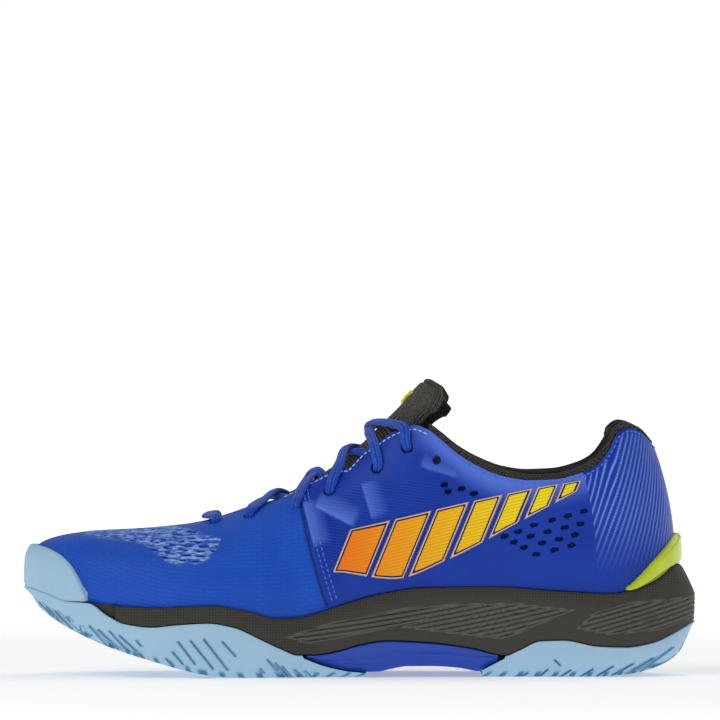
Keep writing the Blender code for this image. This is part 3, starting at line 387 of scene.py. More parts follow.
def sole_body(name, front, rear, count, half, across, underside, looks, marks_of=None):
    """A closed body of sections across the sole: down one wall, across, and up the other."""
    medial, lateral = rungs(front, rear, count)
    near, far = half(medial), half(lateral)
    share = np.linspace(0, 1, across + 1)[1:-1, None]
    middle = near[:, None, -1] * (1 - share) + far[:, None, -1] * share
    middle[..., 2] = underside(middle, share[..., 0])
    grid = np.concatenate([near, middle, far[:, ::-1]], axis=1)
    rows, cols = grid.shape[:2]
    index = np.arange(rows * cols).reshape(rows, cols)
    faces = quads(index, closed=True)
    if rear is not None:
        faces.append(index[0, ::-1].tolist())
    if front is not None:
        faces.append(index[-1].tolist())
    uv = np.stack([grid[..., 0], wall_run(grid)], -1).reshape(-1, 2)
    points = grid.reshape(-1, 3)
    marks = None if marks_of is None else marks_of(points)
    return make_piece(name, points, faces, looks, uv, marks, weld=True)


def rim_drop(edge_x):
    return 0.6 + 2.9 * np.clip((-110 - edge_x) / 14, 0, 1)


def cup_inset(u, down):
    return wall_shape(u)[..., 0] + TUCK_LEAN * down - GAP - 0.05


# Sculpted fields of the side wall, in side view
GROOVE_FIELDS = [[(-37, 18), (-22, 13.5), (16, 21), (42, 27), (46, 33.5), (20, 31.5), (-12, 25.5)],
                 [(14, 21.2), (44, 17.5), (64, 15.5), (99, 30.2), (70, 33.5), (44, 33.3)],
                 [(93, 20.5), (110, 17.5), (134, 19.5), (150, 25), (150, 36), (120, 34), (104, 30)]]
GROOVE_RISE = 0.19
GROOVE_PITCH = 2.1
GROOVE_DEPTH = 0.75
KNURL_PITCH = 0.95


def foam_grooves(x, z):
    field = np.zeros(np.shape(x))
    for corners in GROOVE_FIELDS:
        field = np.maximum(field, within(x, z, corners, 2.2))
    turn = ((z - GROOVE_RISE * x - 0.0006 * (x - 40) ** 2) / GROOVE_PITCH) % 1
    return field * np.where(turn < 0.72, turn / 0.72, (1 - turn) / 0.28), field


def foam_wall(u):
    """Half a section of the foam cup: footbed edge, rim, side wall and hidden underside."""
    edge_x = sole_edge(u)[..., 0]
    deep = BITE(edge_x) - FOOTBED(edge_x)
    rim_in = cup_inset(u, rim_drop(edge_x) / deep)
    rim_out = np.maximum(rim_in - RIM_WALL, np.where(rim_drop(edge_x) > 0.7, RUBBER_LIP + 0.6, 0.4))
    top = BITE(edge_x) - rim_drop(edge_x)
    low = FOAM_EDGE(edge_x) + GAP
    ledge = RUBBER_LIP + 2 * GAP
    hidden = edge_x < -108
    rows = [(cup_inset(u, 1.0), FOOTBED(edge_x)), (rim_in, top - 0.5),
            (rim_in * 0.8 + rim_out * 0.2, top), (rim_in * 0.3 + rim_out * 0.7, top)]
    for height in np.linspace(0.97, 0.02, 46):
        z = low + (top - low) * height
        bulge = np.where(height > 0.45, rim_out * ((height - 0.45) / 0.55) ** 1.15,
                         0.5 * ((0.45 - height) / 0.45) ** 2)
        bulge = bulge + 0.5 * max(0.0, (height - 0.9) / 0.1) ** 2
        cut = foam_grooves(edge_x, z)[0] * GROOVE_DEPTH
        rows.append((np.where(hidden, ledge + 0.1, bulge + cut), z))
    rows += [(np.where(hidden, ledge, 0.9), low), (ledge * np.ones_like(u), low),
             (9.0 * np.ones_like(u), low - 1.5)]
    return section(u, rows)


def foam_marks(points):
    x, z = points[:, 0], points[:, 2]
    groove, field = foam_grooves(x, z)
    band = np.maximum(smooth_step(z, BITE(x) - 7, BITE(x) - 3), smooth_step(-x, 12, 24))
    # Red, the groove depth, becomes painted highlight and painted shade in the material; green
    # marks the knurl, with its painted light and shade.
    return stacked(groove * field, band * (1 - field), field)


def masks_of(look):
    """The masks stored with a mesh, as a node with outputs Red, Green and Blue."""
    seen = node(look, "VertexColor", layer_name="masks")
    return node(look, "SeparateColor", {"Color": (seen, "Color")})


def blend(look, amount, below, above):
    """A mix of two colours, each a hex colour or a (node, output) pair, as such a pair."""
    made = node(look, "Mix", {"Factor": amount, 6: below, 7: above}, data_type="RGBA")
    return made, 2


# Moulded EVA has a dry, slightly waxy skin; the knurl is drawn coarser than the real 0.6 mm.
# Its colour carries painted light: painted highlight and shade on the knurl's dots, a painted
# highlight on the shallow edges of the sculpted grooves and painted shade in their bottoms.
foam = new_look("moulded_black_eva", "#1c1b19", 0.62)
mask = masks_of(foam)
place_mm = node(foam, "TexCoord")
side_view = node(foam, "Mapping", {"Vector": (place_mm, "Object"),
                                   "Rotation": (0.0, math.radians(45), 0.0),
                                   "Scale": (1000.0, 1000.0, 1000.0)})
axes = node(foam, "SeparateXYZ", {"Vector": (side_view, "Vector")})
waves = []
for axis in ("X", "Z"):
    turn = node(foam, "Math", {0: (axes, axis), 1: 2 * math.pi / KNURL_PITCH}, operation="MULTIPLY")
    waves.append(node(foam, "Math", {0: (turn, 0)}, operation="SINE"))
diamonds = node(foam, "Math", {0: (waves[0], 0), 1: (waves[1], 0)}, operation="MULTIPLY")
knurl = node(foam, "Math", {0: (diamonds, 0), 1: (mask, "Green")}, operation="MULTIPLY")
# Painted highlight and painted shade on the knurl's dots, following its relief.
knurl_light_level = node(foam, "MapRange", {"Value": (knurl, 0), "From Min": -1.0, "From Max": 1.0})
skin_noise = node(foam, "TexNoise", {"Vector": (place_mm, "Object"), "Scale": 700.0, "Detail": 5.0})
knurl_light_and_shade = blend(foam, (knurl_light_level, 0), "#0f0e0d", "#5a564e")
# Painted highlight on the shallow edges of the grooves.
flank_highlight = node(foam, "MapRange", {"Value": (mask, "Red"), "From Min": 0.04, "From Max": 0.3})
flank_highlight_tint = blend(foam, (flank_highlight, 0), knurl_light_and_shade, "#77736a")
# Painted shade in the bottoms of the grooves.
groove_shade_tint = blend(foam, (mask, "Red"), flank_highlight_tint, "#0a0908")
shade(foam, {"Base Color": groove_shade_tint})
mixed = node(foam, "Math", {0: (skin_noise, "Fac"), 1: (knurl, 0)}, operation="ADD")
emboss(foam, (mixed, 0), 0.7, 0.0002)

midsole = sole_body("foam_midsole", None, None, 430, foam_wall, 2,
                    lambda p, s: p[..., 2], [foam], foam_marks)
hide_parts("midsole")

# ------------------------------------------------------------------ outsole rubber
# Two pads of pale blue gum rubber, pressed in a steel mould and cemented under the foam.
# Slanted sipes are cut in their side walls and a herringbone tread in their undersides.

FORE_EDGE = line_of([(-45, 17.5), (-35, 12.8), (-25, 8.7), (-15, 4.9), (-5, 2.6), (5, 1.6)])
HEEL_EDGE = line_of([(52, 1.8), (57, 4.5), (61, 6.6), (64, 8.2), (70, 11.5)])
FORE_REAR = 4.0
HEEL_FRONT = 54.0
RUBBER_WALL = 3.4
SIPE_HALF_WIDTH = 0.42
SIPE_DEPTH = 1.0
TREAD_PITCH = 7.5
TREAD_DEPTH = 1.5
FLEX_LINES = (62, 92)
SIPES = [((-146, 34), (-139, 26.5)), ((-142, 32.5), (-134.5, 24.5)), ((-138.5, 30.5), (-130, 21.5)),
         ((-134.5, 29), (-127, 20.5)), ((-129.5, 26.5), (-128, 24.5)),
         ((-123.5, 22.5), (-122.5, 18)),
         ((-119.5, 22.5), (-111.5, 14)), ((-115.5, 21), (-106.5, 12.5)),
         ((-110.5, 20.5), (-102.5, 11.5)), ((-106, 18.5), (-98.5, 11.5)),
         ((-98.5, 16.5), (-96.5, 14)),
         ((-85.5, 8.5), (-83.5, 6.5)), ((-82.5, 11.5), (-78, 6)), ((-80, 16), (-72.5, 6)),
         ((-74.5, 16.5), (-64.5, 4)), ((-68.5, 17), (-58, 3.5)), ((-60.5, 16), (-54.5, 9.5)),
         ((-43.5, 4), (-42, 2)), ((-40.5, 8), (-36, 3)), ((-37, 6.5), (-30.5, -1)),
         ((-34, 5), (-29, -1)), ((-28.5, 3.5), (-24, -1)), ((-24, 3), (-20, -1)),
         ((86, 7.5), (88.5, 5)), ((74, 1.8), (70, -1)), ((83, 3.2), (78, -1)),
         ((93, 2.8), (87, -1)),
         ((103, 3.4), (96, -1)), ((112, 4.6), (103, -1)), ((121, 5.6), (110, -0.5)),
         ((130, 8), (118, 0.8)), ((139, 12.5), (124, 2))]


def sipe_cut(x, z):
    """0 on plain rubber to 1 in the middle of a sipe."""
    deepest = np.zeros(np.shape(x))
    for (ax, az), (bx, bz) in SIPES:
        run = np.array([bx - ax, bz - az])
        share = np.clip(((x - ax) * run[0] + (z - az) * run[1]) / (run @ run), 0, 1)
        gap = np.hypot(x - ax - run[0] * share, z - az - run[1] * share)
        deepest = np.maximum(deepest, np.exp(-(gap / SIPE_HALF_WIDTH) ** 4))
    return deepest


def tread_cut(x, y):
    """0 on a lug to 1 in a groove of the herringbone."""
    bars = np.abs(((x + 0.75 * np.abs(((y + 60) % 30) - 15)) / TREAD_PITCH) % 1 - 0.5) * 2
    flex = sum(np.exp(-(((x + line + 0.003 * y * y) / 1.6) ** 4)) for line in FLEX_LINES)
    return np.clip((1 - smooth_step(bars, 0.22, 0.42)) + flex, 0, 1)


def rubber_wall(edge_line):
    """Half a section of a rubber pad: inner floor, lip, side wall, rounded lower edge."""
    def half(u):
        edge_x = sole_edge(u)[..., 0]
        covered = (edge_x > -25) & (edge_x < 64)
        lip = np.where(covered, edge_line(edge_x), FOAM_EDGE(edge_x)) - 0.05
        x_in, _ = inset_edge(u, 6.0 * np.ones_like(u))
        floor_z = np.minimum(GROUND(x_in) + RUBBER_WALL, lip - 0.2)
        rows = [(7.0, floor_z), (RUBBER_LIP, lip - 0.1), (RUBBER_LIP * 0.7, lip), (0.45, lip)]
        for h in np.concatenate([np.linspace(0.97, 0.2, 30), np.linspace(0.17, 0.0, 9)]):
            inset = 0.1 + 5.9 * (1 - h) ** 2.3
            x, _ = inset_edge(u, inset * np.ones_like(u))
            z = GROUND(x) + (lip - GROUND(x)) * h
            rows.append((inset + SIPE_DEPTH * sipe_cut(edge_x, z) * min(1.0, h * 12 + 0.3), z))
        return section(u, rows)
    return half


def tread_floor(points, share):
    x, y = points[..., 0], points[..., 1]
    edge = smooth_step(np.minimum(share, 1 - share), 0.0, 0.02)
    return GROUND(x) + TREAD_DEPTH * tread_cut(x, y) * edge


def rubber_marks(points):
    x, y, z = points.T
    under = smooth_step(GROUND(x) + 3.2 - z, 0, 2.0)
    return stacked(sipe_cut(x, z), tread_cut(x, y) * under, under)


# Gum rubber is matt with a soft bloom; the sipes and tread grooves are painted darker and greener
# as painted shade.
rubber = new_look("pressed_pale_blue_rubber", "#a6c8e0", 0.48, Subsurface_Weight=0.06,
                  Subsurface_Scale=0.004)
mask = masks_of(rubber)
where = node(rubber, "TexCoord")
cloud = node(rubber, "TexNoise", {"Vector": (where, "Object"), "Scale": 40.0, "Detail": 6.0,
                                  "Roughness": 0.6})
bloom = blend(rubber, (cloud, "Fac"), "#9cc0da", "#aed0e8")
cut_depth = node(rubber, "Math", {0: (mask, "Red"), 1: (mask, "Green")}, operation="MAXIMUM")
# Painted shade in the sipes and tread grooves.
sipe_and_tread_shade = blend(rubber, (cut_depth, 0), bloom, "#3f7fa6")
shade(rubber, {"Base Color": sipe_and_tread_shade})
pores = node(rubber, "TexNoise", {"Vector": (where, "Object"), "Scale": 1600.0, "Detail": 3.0})
emboss(rubber, (pores, "Fac"), 0.25, 0.00012)
shine = node(rubber, "MapRange", {"Value": (cloud, "Fac"), "To Min": 0.42, "To Max": 0.56})
shade(rubber, {"Roughness": (shine, 0)})

for pad, front, rear, edge_line, count in (("forefoot_outsole", None, FORE_REAR, FORE_EDGE, 330),
                                           ("heel_outsole", HEEL_FRONT, None, HEEL_EDGE, 240)):
    piece = sole_body(pad + "_rubber", front, rear, count, rubber_wall(edge_line), 100,
                      tread_floor, [rubber], rubber_marks)
    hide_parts(pad)

# ------------------------------------------------------------------ midfoot shank
# A stiff blue TPU bridge under the arch, injection moulded, that keeps the shoe from twisting.
# Its skin is glossy, with fine flow lines along it.

SHANK_ENDS = (-23.0, 61.0)
SHANK_LOW = line_of([(-24, 8.2), (-15, 4.9), (-5, 2.6), (5, 1.6), (9, 1.7), (14, 2.8), (22, 4),
                     (32, 4), (44, 3.2), (52, 1.8), (57, 4.5), (61, 6.6), (64, 8.2)])


def shank_wall(u):
    edge_x = sole_edge(u)[..., 0]
    low = SHANK_LOW(edge_x) + 0.6
    top = FOAM_EDGE(edge_x) - 0.05
    rows = [(9.0, top - 0.2), (1.2, top)]
    for h in np.linspace(0.96, 0.0, 22):
        crease = 0.45 * np.exp(-((h - 0.55 - 0.004 * (edge_x - 20)) / 0.05) ** 2)
        rows.append((0.4 + 2.6 * (1 - h) ** 2.6 + crease, low + (top - low) * h))
    rows += [(6.0, low), (13.0, low + 0.6)]
    return section(u, rows)


def shank_floor(points, share):
    x = points[..., 0]
    arch = smooth_step(x, 8, 18) * smooth_step(-x, -54, -44)
    rib = 0.6 * np.cos(share * 14 * math.pi)
    return SHANK_LOW(x) + 1.2 + (4.4 + rib) * arch * np.sin(math.pi * share) ** 0.5


def ramp(look, amount, dark, light, low=0.0, high=1.0):
    """A colour running from dark to light while the amount goes from low to high."""
    made = node(look, "ValToRGB", {"Fac": amount})
    for stop, colour, place in zip(made.color_ramp.elements, (dark, light), (low, high)):
        stop.color = linear(colour)
        stop.position = place
    return made


# Injected TPU is glossy, with faint streaks where it flowed along the mould.
shank_look = new_look("injected_blue_tpu", "#2a3fae", 0.3, Coat_Weight=0.25, Coat_Roughness=0.2)
where = node(shank_look, "TexCoord")
flow = node(shank_look, "Mapping", {"Vector": (where, "Object"), "Scale": (60.0, 60.0, 900.0)})
streaks = node(shank_look, "TexNoise", {"Vector": (flow, "Vector"), "Scale": 1.0, "Detail": 4.0})
shank_tint = ramp(shank_look, (streaks, "Fac"), "#18389e", "#2a56c8")
shade(shank_look, {"Base Color": (shank_tint, "Color")})
emboss(shank_look, (streaks, "Fac"), 0.35, 0.0003)
shank = sole_body("arch_shank", *SHANK_ENDS, 200, shank_wall, 60, shank_floor, [shank_look])
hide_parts("midfoot_shank")

# ------------------------------------------------------------------ footbed
# A felt strobel board is stitched across the bottom of the upper over two gel cushions.
# On it lies the removable sockliner: moulded foam faced with a brushed blue knit.

STROBEL_WALL = 1.4
SOCKLINER_WALL = 4.0
SOCKLINER_RIM = 3.0
LINING_DEPTH = 4.9
LINING_WALL = 1.0


def sockliner_wall(u):
    edge_x = sole_edge(u)[..., 0]
    inner = cup_inset(u, 1.0) + LINING_DEPTH + LINING_WALL + 1.2
    seat = FOOTBED(edge_x) + GAP + STROBEL_WALL + GAP
    rim = SOCKLINER_WALL + SOCKLINER_RIM
    rows = [(inner, seat), (inner - 0.3, seat + rim * 0.5), (inner - 0.5, seat + rim * 0.93),
            (inner, seat + rim), (inner + 0.9, seat + rim * 0.99), (inner + 2.4, seat + rim * 0.9),
            (inner + 4.5, seat + rim * 0.72), (inner + 7.5, seat + SOCKLINER_WALL)]
    return section(u, rows)


def sockliner_face(points, share):
    x = points[..., 0]
    dish = 0.9 * np.exp(-((x - 95) / 28) ** 2) * np.sin(math.pi * share) ** 2
    return FOOTBED(x) + 2 * GAP + STROBEL_WALL + SOCKLINER_WALL - dish


# Brushed knit: a 1 mm loop pattern and a soft nap, which sheen gives it.
sock_look = new_look("brushed_blue_knit", "#12308f", 0.9, Sheen_Weight=0.4)
where = node(sock_look, "TexCoord")
loops = node(sock_look, "TexVoronoi", {"Vector": (where, "Object"), "Scale": 1000.0})
nap = node(sock_look, "TexNoise", {"Vector": (where, "Object"), "Scale": 300.0, "Detail": 6.0})
sock_tint = blend(sock_look, (nap, "Fac"), "#0d2474", "#1c42b0")
shade(sock_look, {"Base Color": sock_tint})
emboss(sock_look, (loops, "Distance"), 0.6, 0.0003)
sockliner = sole_body("sockliner_pad", None, None, 160, sockliner_wall, 40, sockliner_face,
                      [sock_look])
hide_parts("sockliner")


def speckled(name, dark, light, roughness, scale, relief):
    """A plain material with a mottled colour and a matching fine relief, for hidden pieces."""
    look = new_look(name, light, roughness)
    coords = node(look, "TexCoord")
    mottle = node(look, "TexNoise", {"Vector": (coords, "Object"), "Scale": scale, "Detail": 6.0})
    shade(look, {"Base Color": (ramp(look, (mottle, "Fac"), dark, light), "Color")})
    emboss(look, (mottle, "Fac"), 0.5, relief * MM)
    return look


def refinish(cad_node, look):
    """Gives a CAD node that keeps its shape a better material."""
    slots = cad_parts[cad_node].data.materials
    slots.clear()
    slots.append(look)


FELT = speckled("pressed_strobel_felt", "#c9c6ba", "#e9e6dc", 0.95, 900.0, 0.2)
GEL = speckled("cast_silicone_gel", "#6ea4c4", "#a8d2e6", 0.25, 120.0, 0.05)
refinish("strobel_board", FELT)
for pad in ("heel_gel_pad", "forefoot_gel_pad"):
    refinish(pad, GEL)

# ------------------------------------------------------------------ vamp
# The forefoot shell: one piece of polyester mesh under a thin hot-pressed polyurethane skin
# with rows of short dashes, left open over the toes as a window of slit mesh that breathes.

CREST = line_of([(-149, 62.6), (-138, 63.2), (-120, 64), (-100, 64.5), (-85, 65.6), (-70, 67.8),
                 (-58, 71.2), (-50, 74), (-36, 78), (-20, 86), (-5, 94.5), (7, 102.5),
                 (16, 108.5), (24, 111), (30, 109), (36, 104.5), (43, 98.5), (52, 93), (62, 88.8),
                 (75, 86.7), (86, 87.1), (98, 90), (105, 93.6), (110, 99.5), (114, 107),
                 (119, 109.6), (124, 108), (130, 102)])
WINDOW_LOW = line_of([(-128, 64.5), (-120, 61.6), (-105, 60), (-96, 58.4), (-90, 54.5), (-84, 50.6),
                      (-77, 49.2), (-70, 50.6), (-65, 54), (-61.5, 60), (-59.5, 68)])
UPPER_WALL = 1.4
EYELETS = [(-64, 68.2), (-49, 71.2), (-28.5, 75), (-13.5, 81.5), (7.5, 92), (21, 101), (34, 95.5)]
LAP_SEAM = (-11, -32)
SLIT_PITCH = (7.2, 2.9)
SLIT_HALF = (2.7, 0.72)


def skin_surface(u, v):
    """The upper's outer face: v runs from -1 at the footbed, over 0 at the sole, to 1 on top."""
    u, v = np.broadcast_arrays(np.asarray(u, float), np.asarray(v, float))
    lean, fold, full = np.moveaxis(wall_shape(u), -1, 0)
    edge_x = sole_edge(u)[..., 0]
    low_x, low_y = inset_edge(u, lean)
    low_z = BITE(edge_x)
    top = top_edge(u)
    end = np.radians(np.clip(fold, 10, 89))
    angle = np.minimum(end * np.clip(v, 0, 1.2), math.radians(89.9))
    reach = (np.cos(angle) ** full + np.sin(angle) ** full) ** (-1 / full)
    end_reach = (np.cos(end) ** full + np.sin(end) ** full) ** (-1 / full)
    across = (1 - reach * np.cos(angle)) / (1 - end_reach * np.cos(end))
    rise = reach * np.sin(angle) / (end_reach * np.sin(end))
    x = low_x + (top[..., 0] - low_x) * across
    y = low_y + (top[..., 1] - low_y) * across
    z = low_z + (CREST(x) - low_z) * rise
    down = np.clip(-v, 0, 1)
    foot_x, foot_y = inset_edge(u, lean + TUCK_LEAN)
    x = np.where(v < 0, low_x + (foot_x - low_x) * down, x)
    y = np.where(v < 0, low_y + (foot_y - low_y) * down, y)
    z = np.where(v < 0, low_z + (FOOTBED(edge_x) + GAP - low_z) * down, z)
    return np.stack([x, y, z], axis=-1)


def skin(u, v, depth=0.0):
    """Point of the upper at u, v, moved inward by depth along its own normal."""
    along = skin_surface(np.asarray(u) + 0.4, v) - skin_surface(np.asarray(u) - 0.4, v)
    rising = skin_surface(u, np.asarray(v) + 0.01) - skin_surface(u, np.asarray(v) - 0.01)
    return skin_surface(u, v) + unit(np.cross(along, rising)) * np.asarray(depth)[..., None]


def find_on_skin(x, z, side):
    """u and v of the skin points seen at x, z on one side."""
    x, z = np.atleast_1d(np.asarray(x, float)), np.atleast_1d(np.asarray(z, float))
    u = np.array([at(one, side) for one in x])
    v = np.full(len(u), 0.5)
    for _ in range(24):
        here = skin_surface(u, v)
        by_u = (skin_surface(u + 0.2, v) - here) / 0.2
        by_v = (skin_surface(u, v + 0.002) - here) / 0.002
        miss_x, miss_z = x - here[:, 0], z - here[:, 2]
        det = by_u[:, 0] * by_v[:, 2] - by_v[:, 0] * by_u[:, 2]
        step_u = (miss_x * by_v[:, 2] - by_v[:, 0] * miss_z) / det
        step_v = (by_u[:, 0] * miss_z - by_u[:, 2] * miss_x) / det
        u = u + np.clip(step_u, -8, 8)
        v = np.clip(v + np.clip(step_v, -0.2, 0.2), 0.0, 1.0)
    return u, v


def skin_grid(left, right, low, high, across, up):
    """u and v over a patch: left and right give u from v, low and high give v from u."""
    t = np.linspace(0, 1, up + 1)[None, :]
    s = np.linspace(0, 1, across + 1)[:, None]
    v = low(left(0.5)) * (1 - t) + high(left(0.5)) * t
    for _ in range(3):
        u = left(v) * (1 - s) + right(v) * s
        v = low(u) * (1 - t) + high(u) * t
    return u, v


def seam(side, low_x, high_x, shift=0.0):
    """A seam of the upper: u from v, between its places at the sole and at the top."""
    toward_toe = 1 if side == "medial" else -1
    low_u = at(low_x, side) + shift * toward_toe
    high_u = at(high_x, side) + shift * toward_toe
    return lambda v: np.interp(v, [-1, 0, 1], [low_u, low_u, high_u])


def level(v):
    return lambda u: np.full(np.shape(u), float(v))


def layer(name, outer, inner, looks, marks=None, uv=None, body="shoe", step=6):
    """A closed layer: a fine outer grid, and a hidden inner grid with one point in step."""
    rows, cols = outer.shape[:2]
    index = np.arange(rows * cols).reshape(rows, cols)
    faces = quads(index)
    rough = inner[::step, ::step]
    back_rows, back_cols = rough.shape[:2]
    back = np.arange(back_rows * back_cols).reshape(back_rows, back_cols) + rows * cols
    hidden = np.stack([back[:-1, :-1], back[1:, :-1], back[1:, 1:], back[:-1, 1:]], -1)
    faces += hidden.reshape(-1, 4).tolist()
    for fine, coarse in ((index[0, ::-1], back[0, ::-1]), (index[:, 0], back[:, 0]),
                         (index[-1], back[-1]), (index[::-1, -1], back[::-1, -1])):
        for i in range(len(coarse) - 1):
            edge = fine[i * step:(i + 1) * step + 1].tolist()
            faces.append(edge + [int(coarse[i + 1]), int(coarse[i])])
    points = np.concatenate([outer.reshape(-1, 3), rough.reshape(-1, 3)])
    if uv is None:
        uv = np.stack([outer[..., 0], wall_run(outer)], -1)
    uv = np.concatenate([uv.reshape(-1, 2), uv[::step, ::step].reshape(-1, 2)])
    if marks is not None:
        hidden_marks = marks[::step, ::step].reshape(-1, 3) * 0
        marks = np.concatenate([marks.reshape(-1, 3), hidden_marks])
    return make_piece(name, points, faces, looks, uv, marks, body)


eyelet_spots = {}
for side in SIDES:
    spot_u, spot_v = find_on_skin([e[0] for e in EYELETS], [e[1] for e in EYELETS], side)
    eyelet_spots[side] = (spot_u, spot_v, skin_surface(spot_u, spot_v))


def eyelet_dips(points, rows, radius=2.7):
    """0 on the plain wall to 1 in a punched eyelet."""
    hole = np.zeros(points.shape[:-1])
    for side in SIDES:
        for row in rows:
            gap = np.linalg.norm(points - eyelet_spots[side][2][row], axis=-1)
            hole = np.maximum(hole, 1 - smooth_step(gap, radius - 0.6, radius))
    return hole


u, v = skin_grid(seam("medial", *LAP_SEAM, 0.2), seam("lateral", *LAP_SEAM, 0.2), level(-1),
                 level(1), 480, 180)
plain = skin_surface(u, v)
x, z = plain[..., 0], plain[..., 2]
run = wall_run(plain)
window = smooth_step(z - WINDOW_LOW(x), -0.6, 1.2) * smooth_step(x, -128, -118)
window = window * smooth_step(-x, 59, 61.5) * (v > 0)
stay_line = 66.0 - 0.28 * (x + 80)
window = window * (1 - smooth_step(z - stay_line, -0.5, 0.8) * smooth_step(x, -83, -80))
row_number = np.floor(run / SLIT_PITCH[1])
slit_x = ((x + 3.6 * (row_number % 2) + 1.3 * np.sin(row_number * 2.4)) / SLIT_PITCH[0]) % 1 - 0.5
slit_z = (run / SLIT_PITCH[1]) % 1 - 0.5
lens_gap = (slit_x * SLIT_PITCH[0] / SLIT_HALF[0]) ** 2
lens_gap = lens_gap + (slit_z * SLIT_PITCH[1] / SLIT_HALF[1]) ** 2
slit = (1 - smooth_step(lens_gap, 0.55, 1.25)) * window * (1 - smooth_step(-x, 110, 118))
holes = eyelet_dips(plain, (0, 1))
from_top = np.linalg.norm(plain - skin_surface(u, np.ones_like(v)), axis=-1)
edge_roll = 1 - smooth_step(from_top, 0, 1.2)
proud = 0.12 * window - 0.75 * slit - 1.5 * holes - 0.35 * edge_roll
seam_gap = np.minimum(np.abs(u - seam("medial", *LAP_SEAM)(v)),
                      np.abs(u - seam("lateral", *LAP_SEAM)(v)))
groove = 0.85 * np.exp(-((seam_gap - 2.2) / 0.55) ** 2) * (v > 0)
proud = proud - 0.3 * groove
# Marks: red the slits, green the window, blue the painted shade in the eyelets and the painted
# shadow beside the quarter's lapped edge.
marks = stacked(slit, window, np.maximum(holes, groove))

# Hot-pressed skin on mesh: satin, with 5 mm dashes in rows 1.9 mm apart pressed into it, their
# pressed lines painted a little darker as painted shade; in the window the yarn shows, with
# painted highlights in pale patches and painted shade in the slits. The eyelets and a line
# beside the quarter's lapped edge get painted shade too.
vamp_look = new_look("pressed_polyurethane_on_mesh", "#2450c8", 0.46)
mask = masks_of(vamp_look)
flat_mm = node(vamp_look, "UVMap", uv_map="millimetres")
where = node(vamp_look, "TexCoord")
wander = node(vamp_look, "TexNoise", {"Vector": (where, "Object"), "Scale": 120.0, "Detail": 2.0})
drift = node(vamp_look, "VectorMath", {0: (wander, "Color"), 1: (2.2, 1.1, 0.0)},
             operation="MULTIPLY")
drifted = node(vamp_look, "VectorMath", {0: (flat_mm, 0), 1: (drift, 0)}, operation="ADD")
dashes = node(vamp_look, "TexBrick", {"Vector": (drifted, 0), "Scale": 1.0, "Mortar Size": 0.32,
                                      "Mortar Smooth": 0.9, "Brick Width": 5.2, "Row Height": 1.9})
cloud = node(vamp_look, "TexNoise", {"Vector": (where, "Object"), "Scale": 55.0, "Detail": 5.0})
skin_tint = blend(vamp_look, (cloud, "Fac"), "#0c46b6", "#1a60d4")
# The pressed lines round the dashes are painted a little darker, as painted shade.
dash_tint = blend(vamp_look, (dashes, "Fac"), skin_tint, "#1049bc")
yarn_noise = node(vamp_look, "Mapping", {"Vector": (where, "Object"),
                                         "Scale": (260.0, 700.0, 900.0)})
yarn = node(vamp_look, "TexNoise", {"Vector": (yarn_noise, 0), "Scale": 1.0, "Detail": 4.0})
# Painted highlight: pale patches on the window's yarn.
yarn_highlight_tint = ramp(vamp_look, (yarn, "Fac"), "#1c56c8", "#a4c8ff", 0.42, 0.66)
window_tint = blend(vamp_look, (mask, "Green"), dash_tint, (yarn_highlight_tint, "Color"))
# Painted shade in the slits.
slit_shade_tint = blend(vamp_look, (mask, "Red"), window_tint, "#0c2a80")
# Painted shade in the eyelets, and a painted shadow beside the quarter's lapped edge.
painted_shade_tint = blend(vamp_look, (mask, "Blue"), slit_shade_tint, "#050a20")
shade(vamp_look, {"Base Color": painted_shade_tint})
fine_weave = node(vamp_look, "TexNoise", {"Vector": (where, "Object"), "Scale": 1500.0,
                                          "Detail": 2.0})
relief = node(vamp_look, "Math", {0: (dashes, "Fac"), 1: -0.8, 2: (fine_weave, "Fac")},
              operation="MULTIPLY_ADD")
emboss(vamp_look, (relief, 0), 0.35, 0.00022)

vamp = layer("vamp_shell", skin(u, v, -proud), skin(u, v, UPPER_WALL), [vamp_look], marks,
             np.stack([x, run], -1))
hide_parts("vamp")

# ------------------------------------------------------------------ quarters
# The two sides of the upper: moulded synthetic leather lapped over the vamp and stitched to it,
# with pressed facets and fine ribs towards the laces, and punched vents behind.

CREASES = [((-25, 76), (-20.5, 57), 0.75, 9.0), ((-20, 74.5), (-2.5, 66), 0.8, 10.0),
           ((0.5, 85), (5.5, 69), 0.6, 9.0), ((27, 92.5), (44, 87.5), 0.5, 8.0)]
VENTS = [(37.5, 84.7), (45, 83), (39, 81.6), (50.5, 80.7), (64, 62), (70, 64), (77, 67),
         (85, 69.2), (92, 71), (99, 73), (68, 59.3), (75.5, 62), (83, 64), (90.5, 65.8),
         (97.5, 67.5), (72.5, 57), (80.5, 59), (88, 60.7), (95, 62.7), (78, 54), (86, 56),
         (93.5, 58)]
VENT_HALF = (1.75, 0.8)
VENT_TILT = math.radians(12)
LAP = 1.6
HEEL_SEAM = (105, 106, -0.2)
EDGE_PROUD = 0.95
QUARTER_PROUD = 0.3
RIB_STEP = 1.3


def throat_edge(u):
    """Top of the quarter, with the notch in the lace stay behind the fourth eyelet."""
    notch = np.clip(1 - np.abs(top_edge(u)[..., 0] + 4) / 6.5, 0, 1)
    return 1.0 - 0.075 * notch


def vent_holes(x, z):
    hole = np.zeros(np.shape(x))
    for vent_x, vent_z in VENTS:
        along = (x - vent_x) * math.cos(VENT_TILT) + (z - vent_z) * math.sin(VENT_TILT)
        over = (z - vent_z) * math.cos(VENT_TILT) - (x - vent_x) * math.sin(VENT_TILT)
        gap = (along / VENT_HALF[0]) ** 2 + (over / VENT_HALF[1]) ** 2
        hole = np.maximum(hole, 1 - smooth_step(gap, 0.6, 1.3))
    return hole


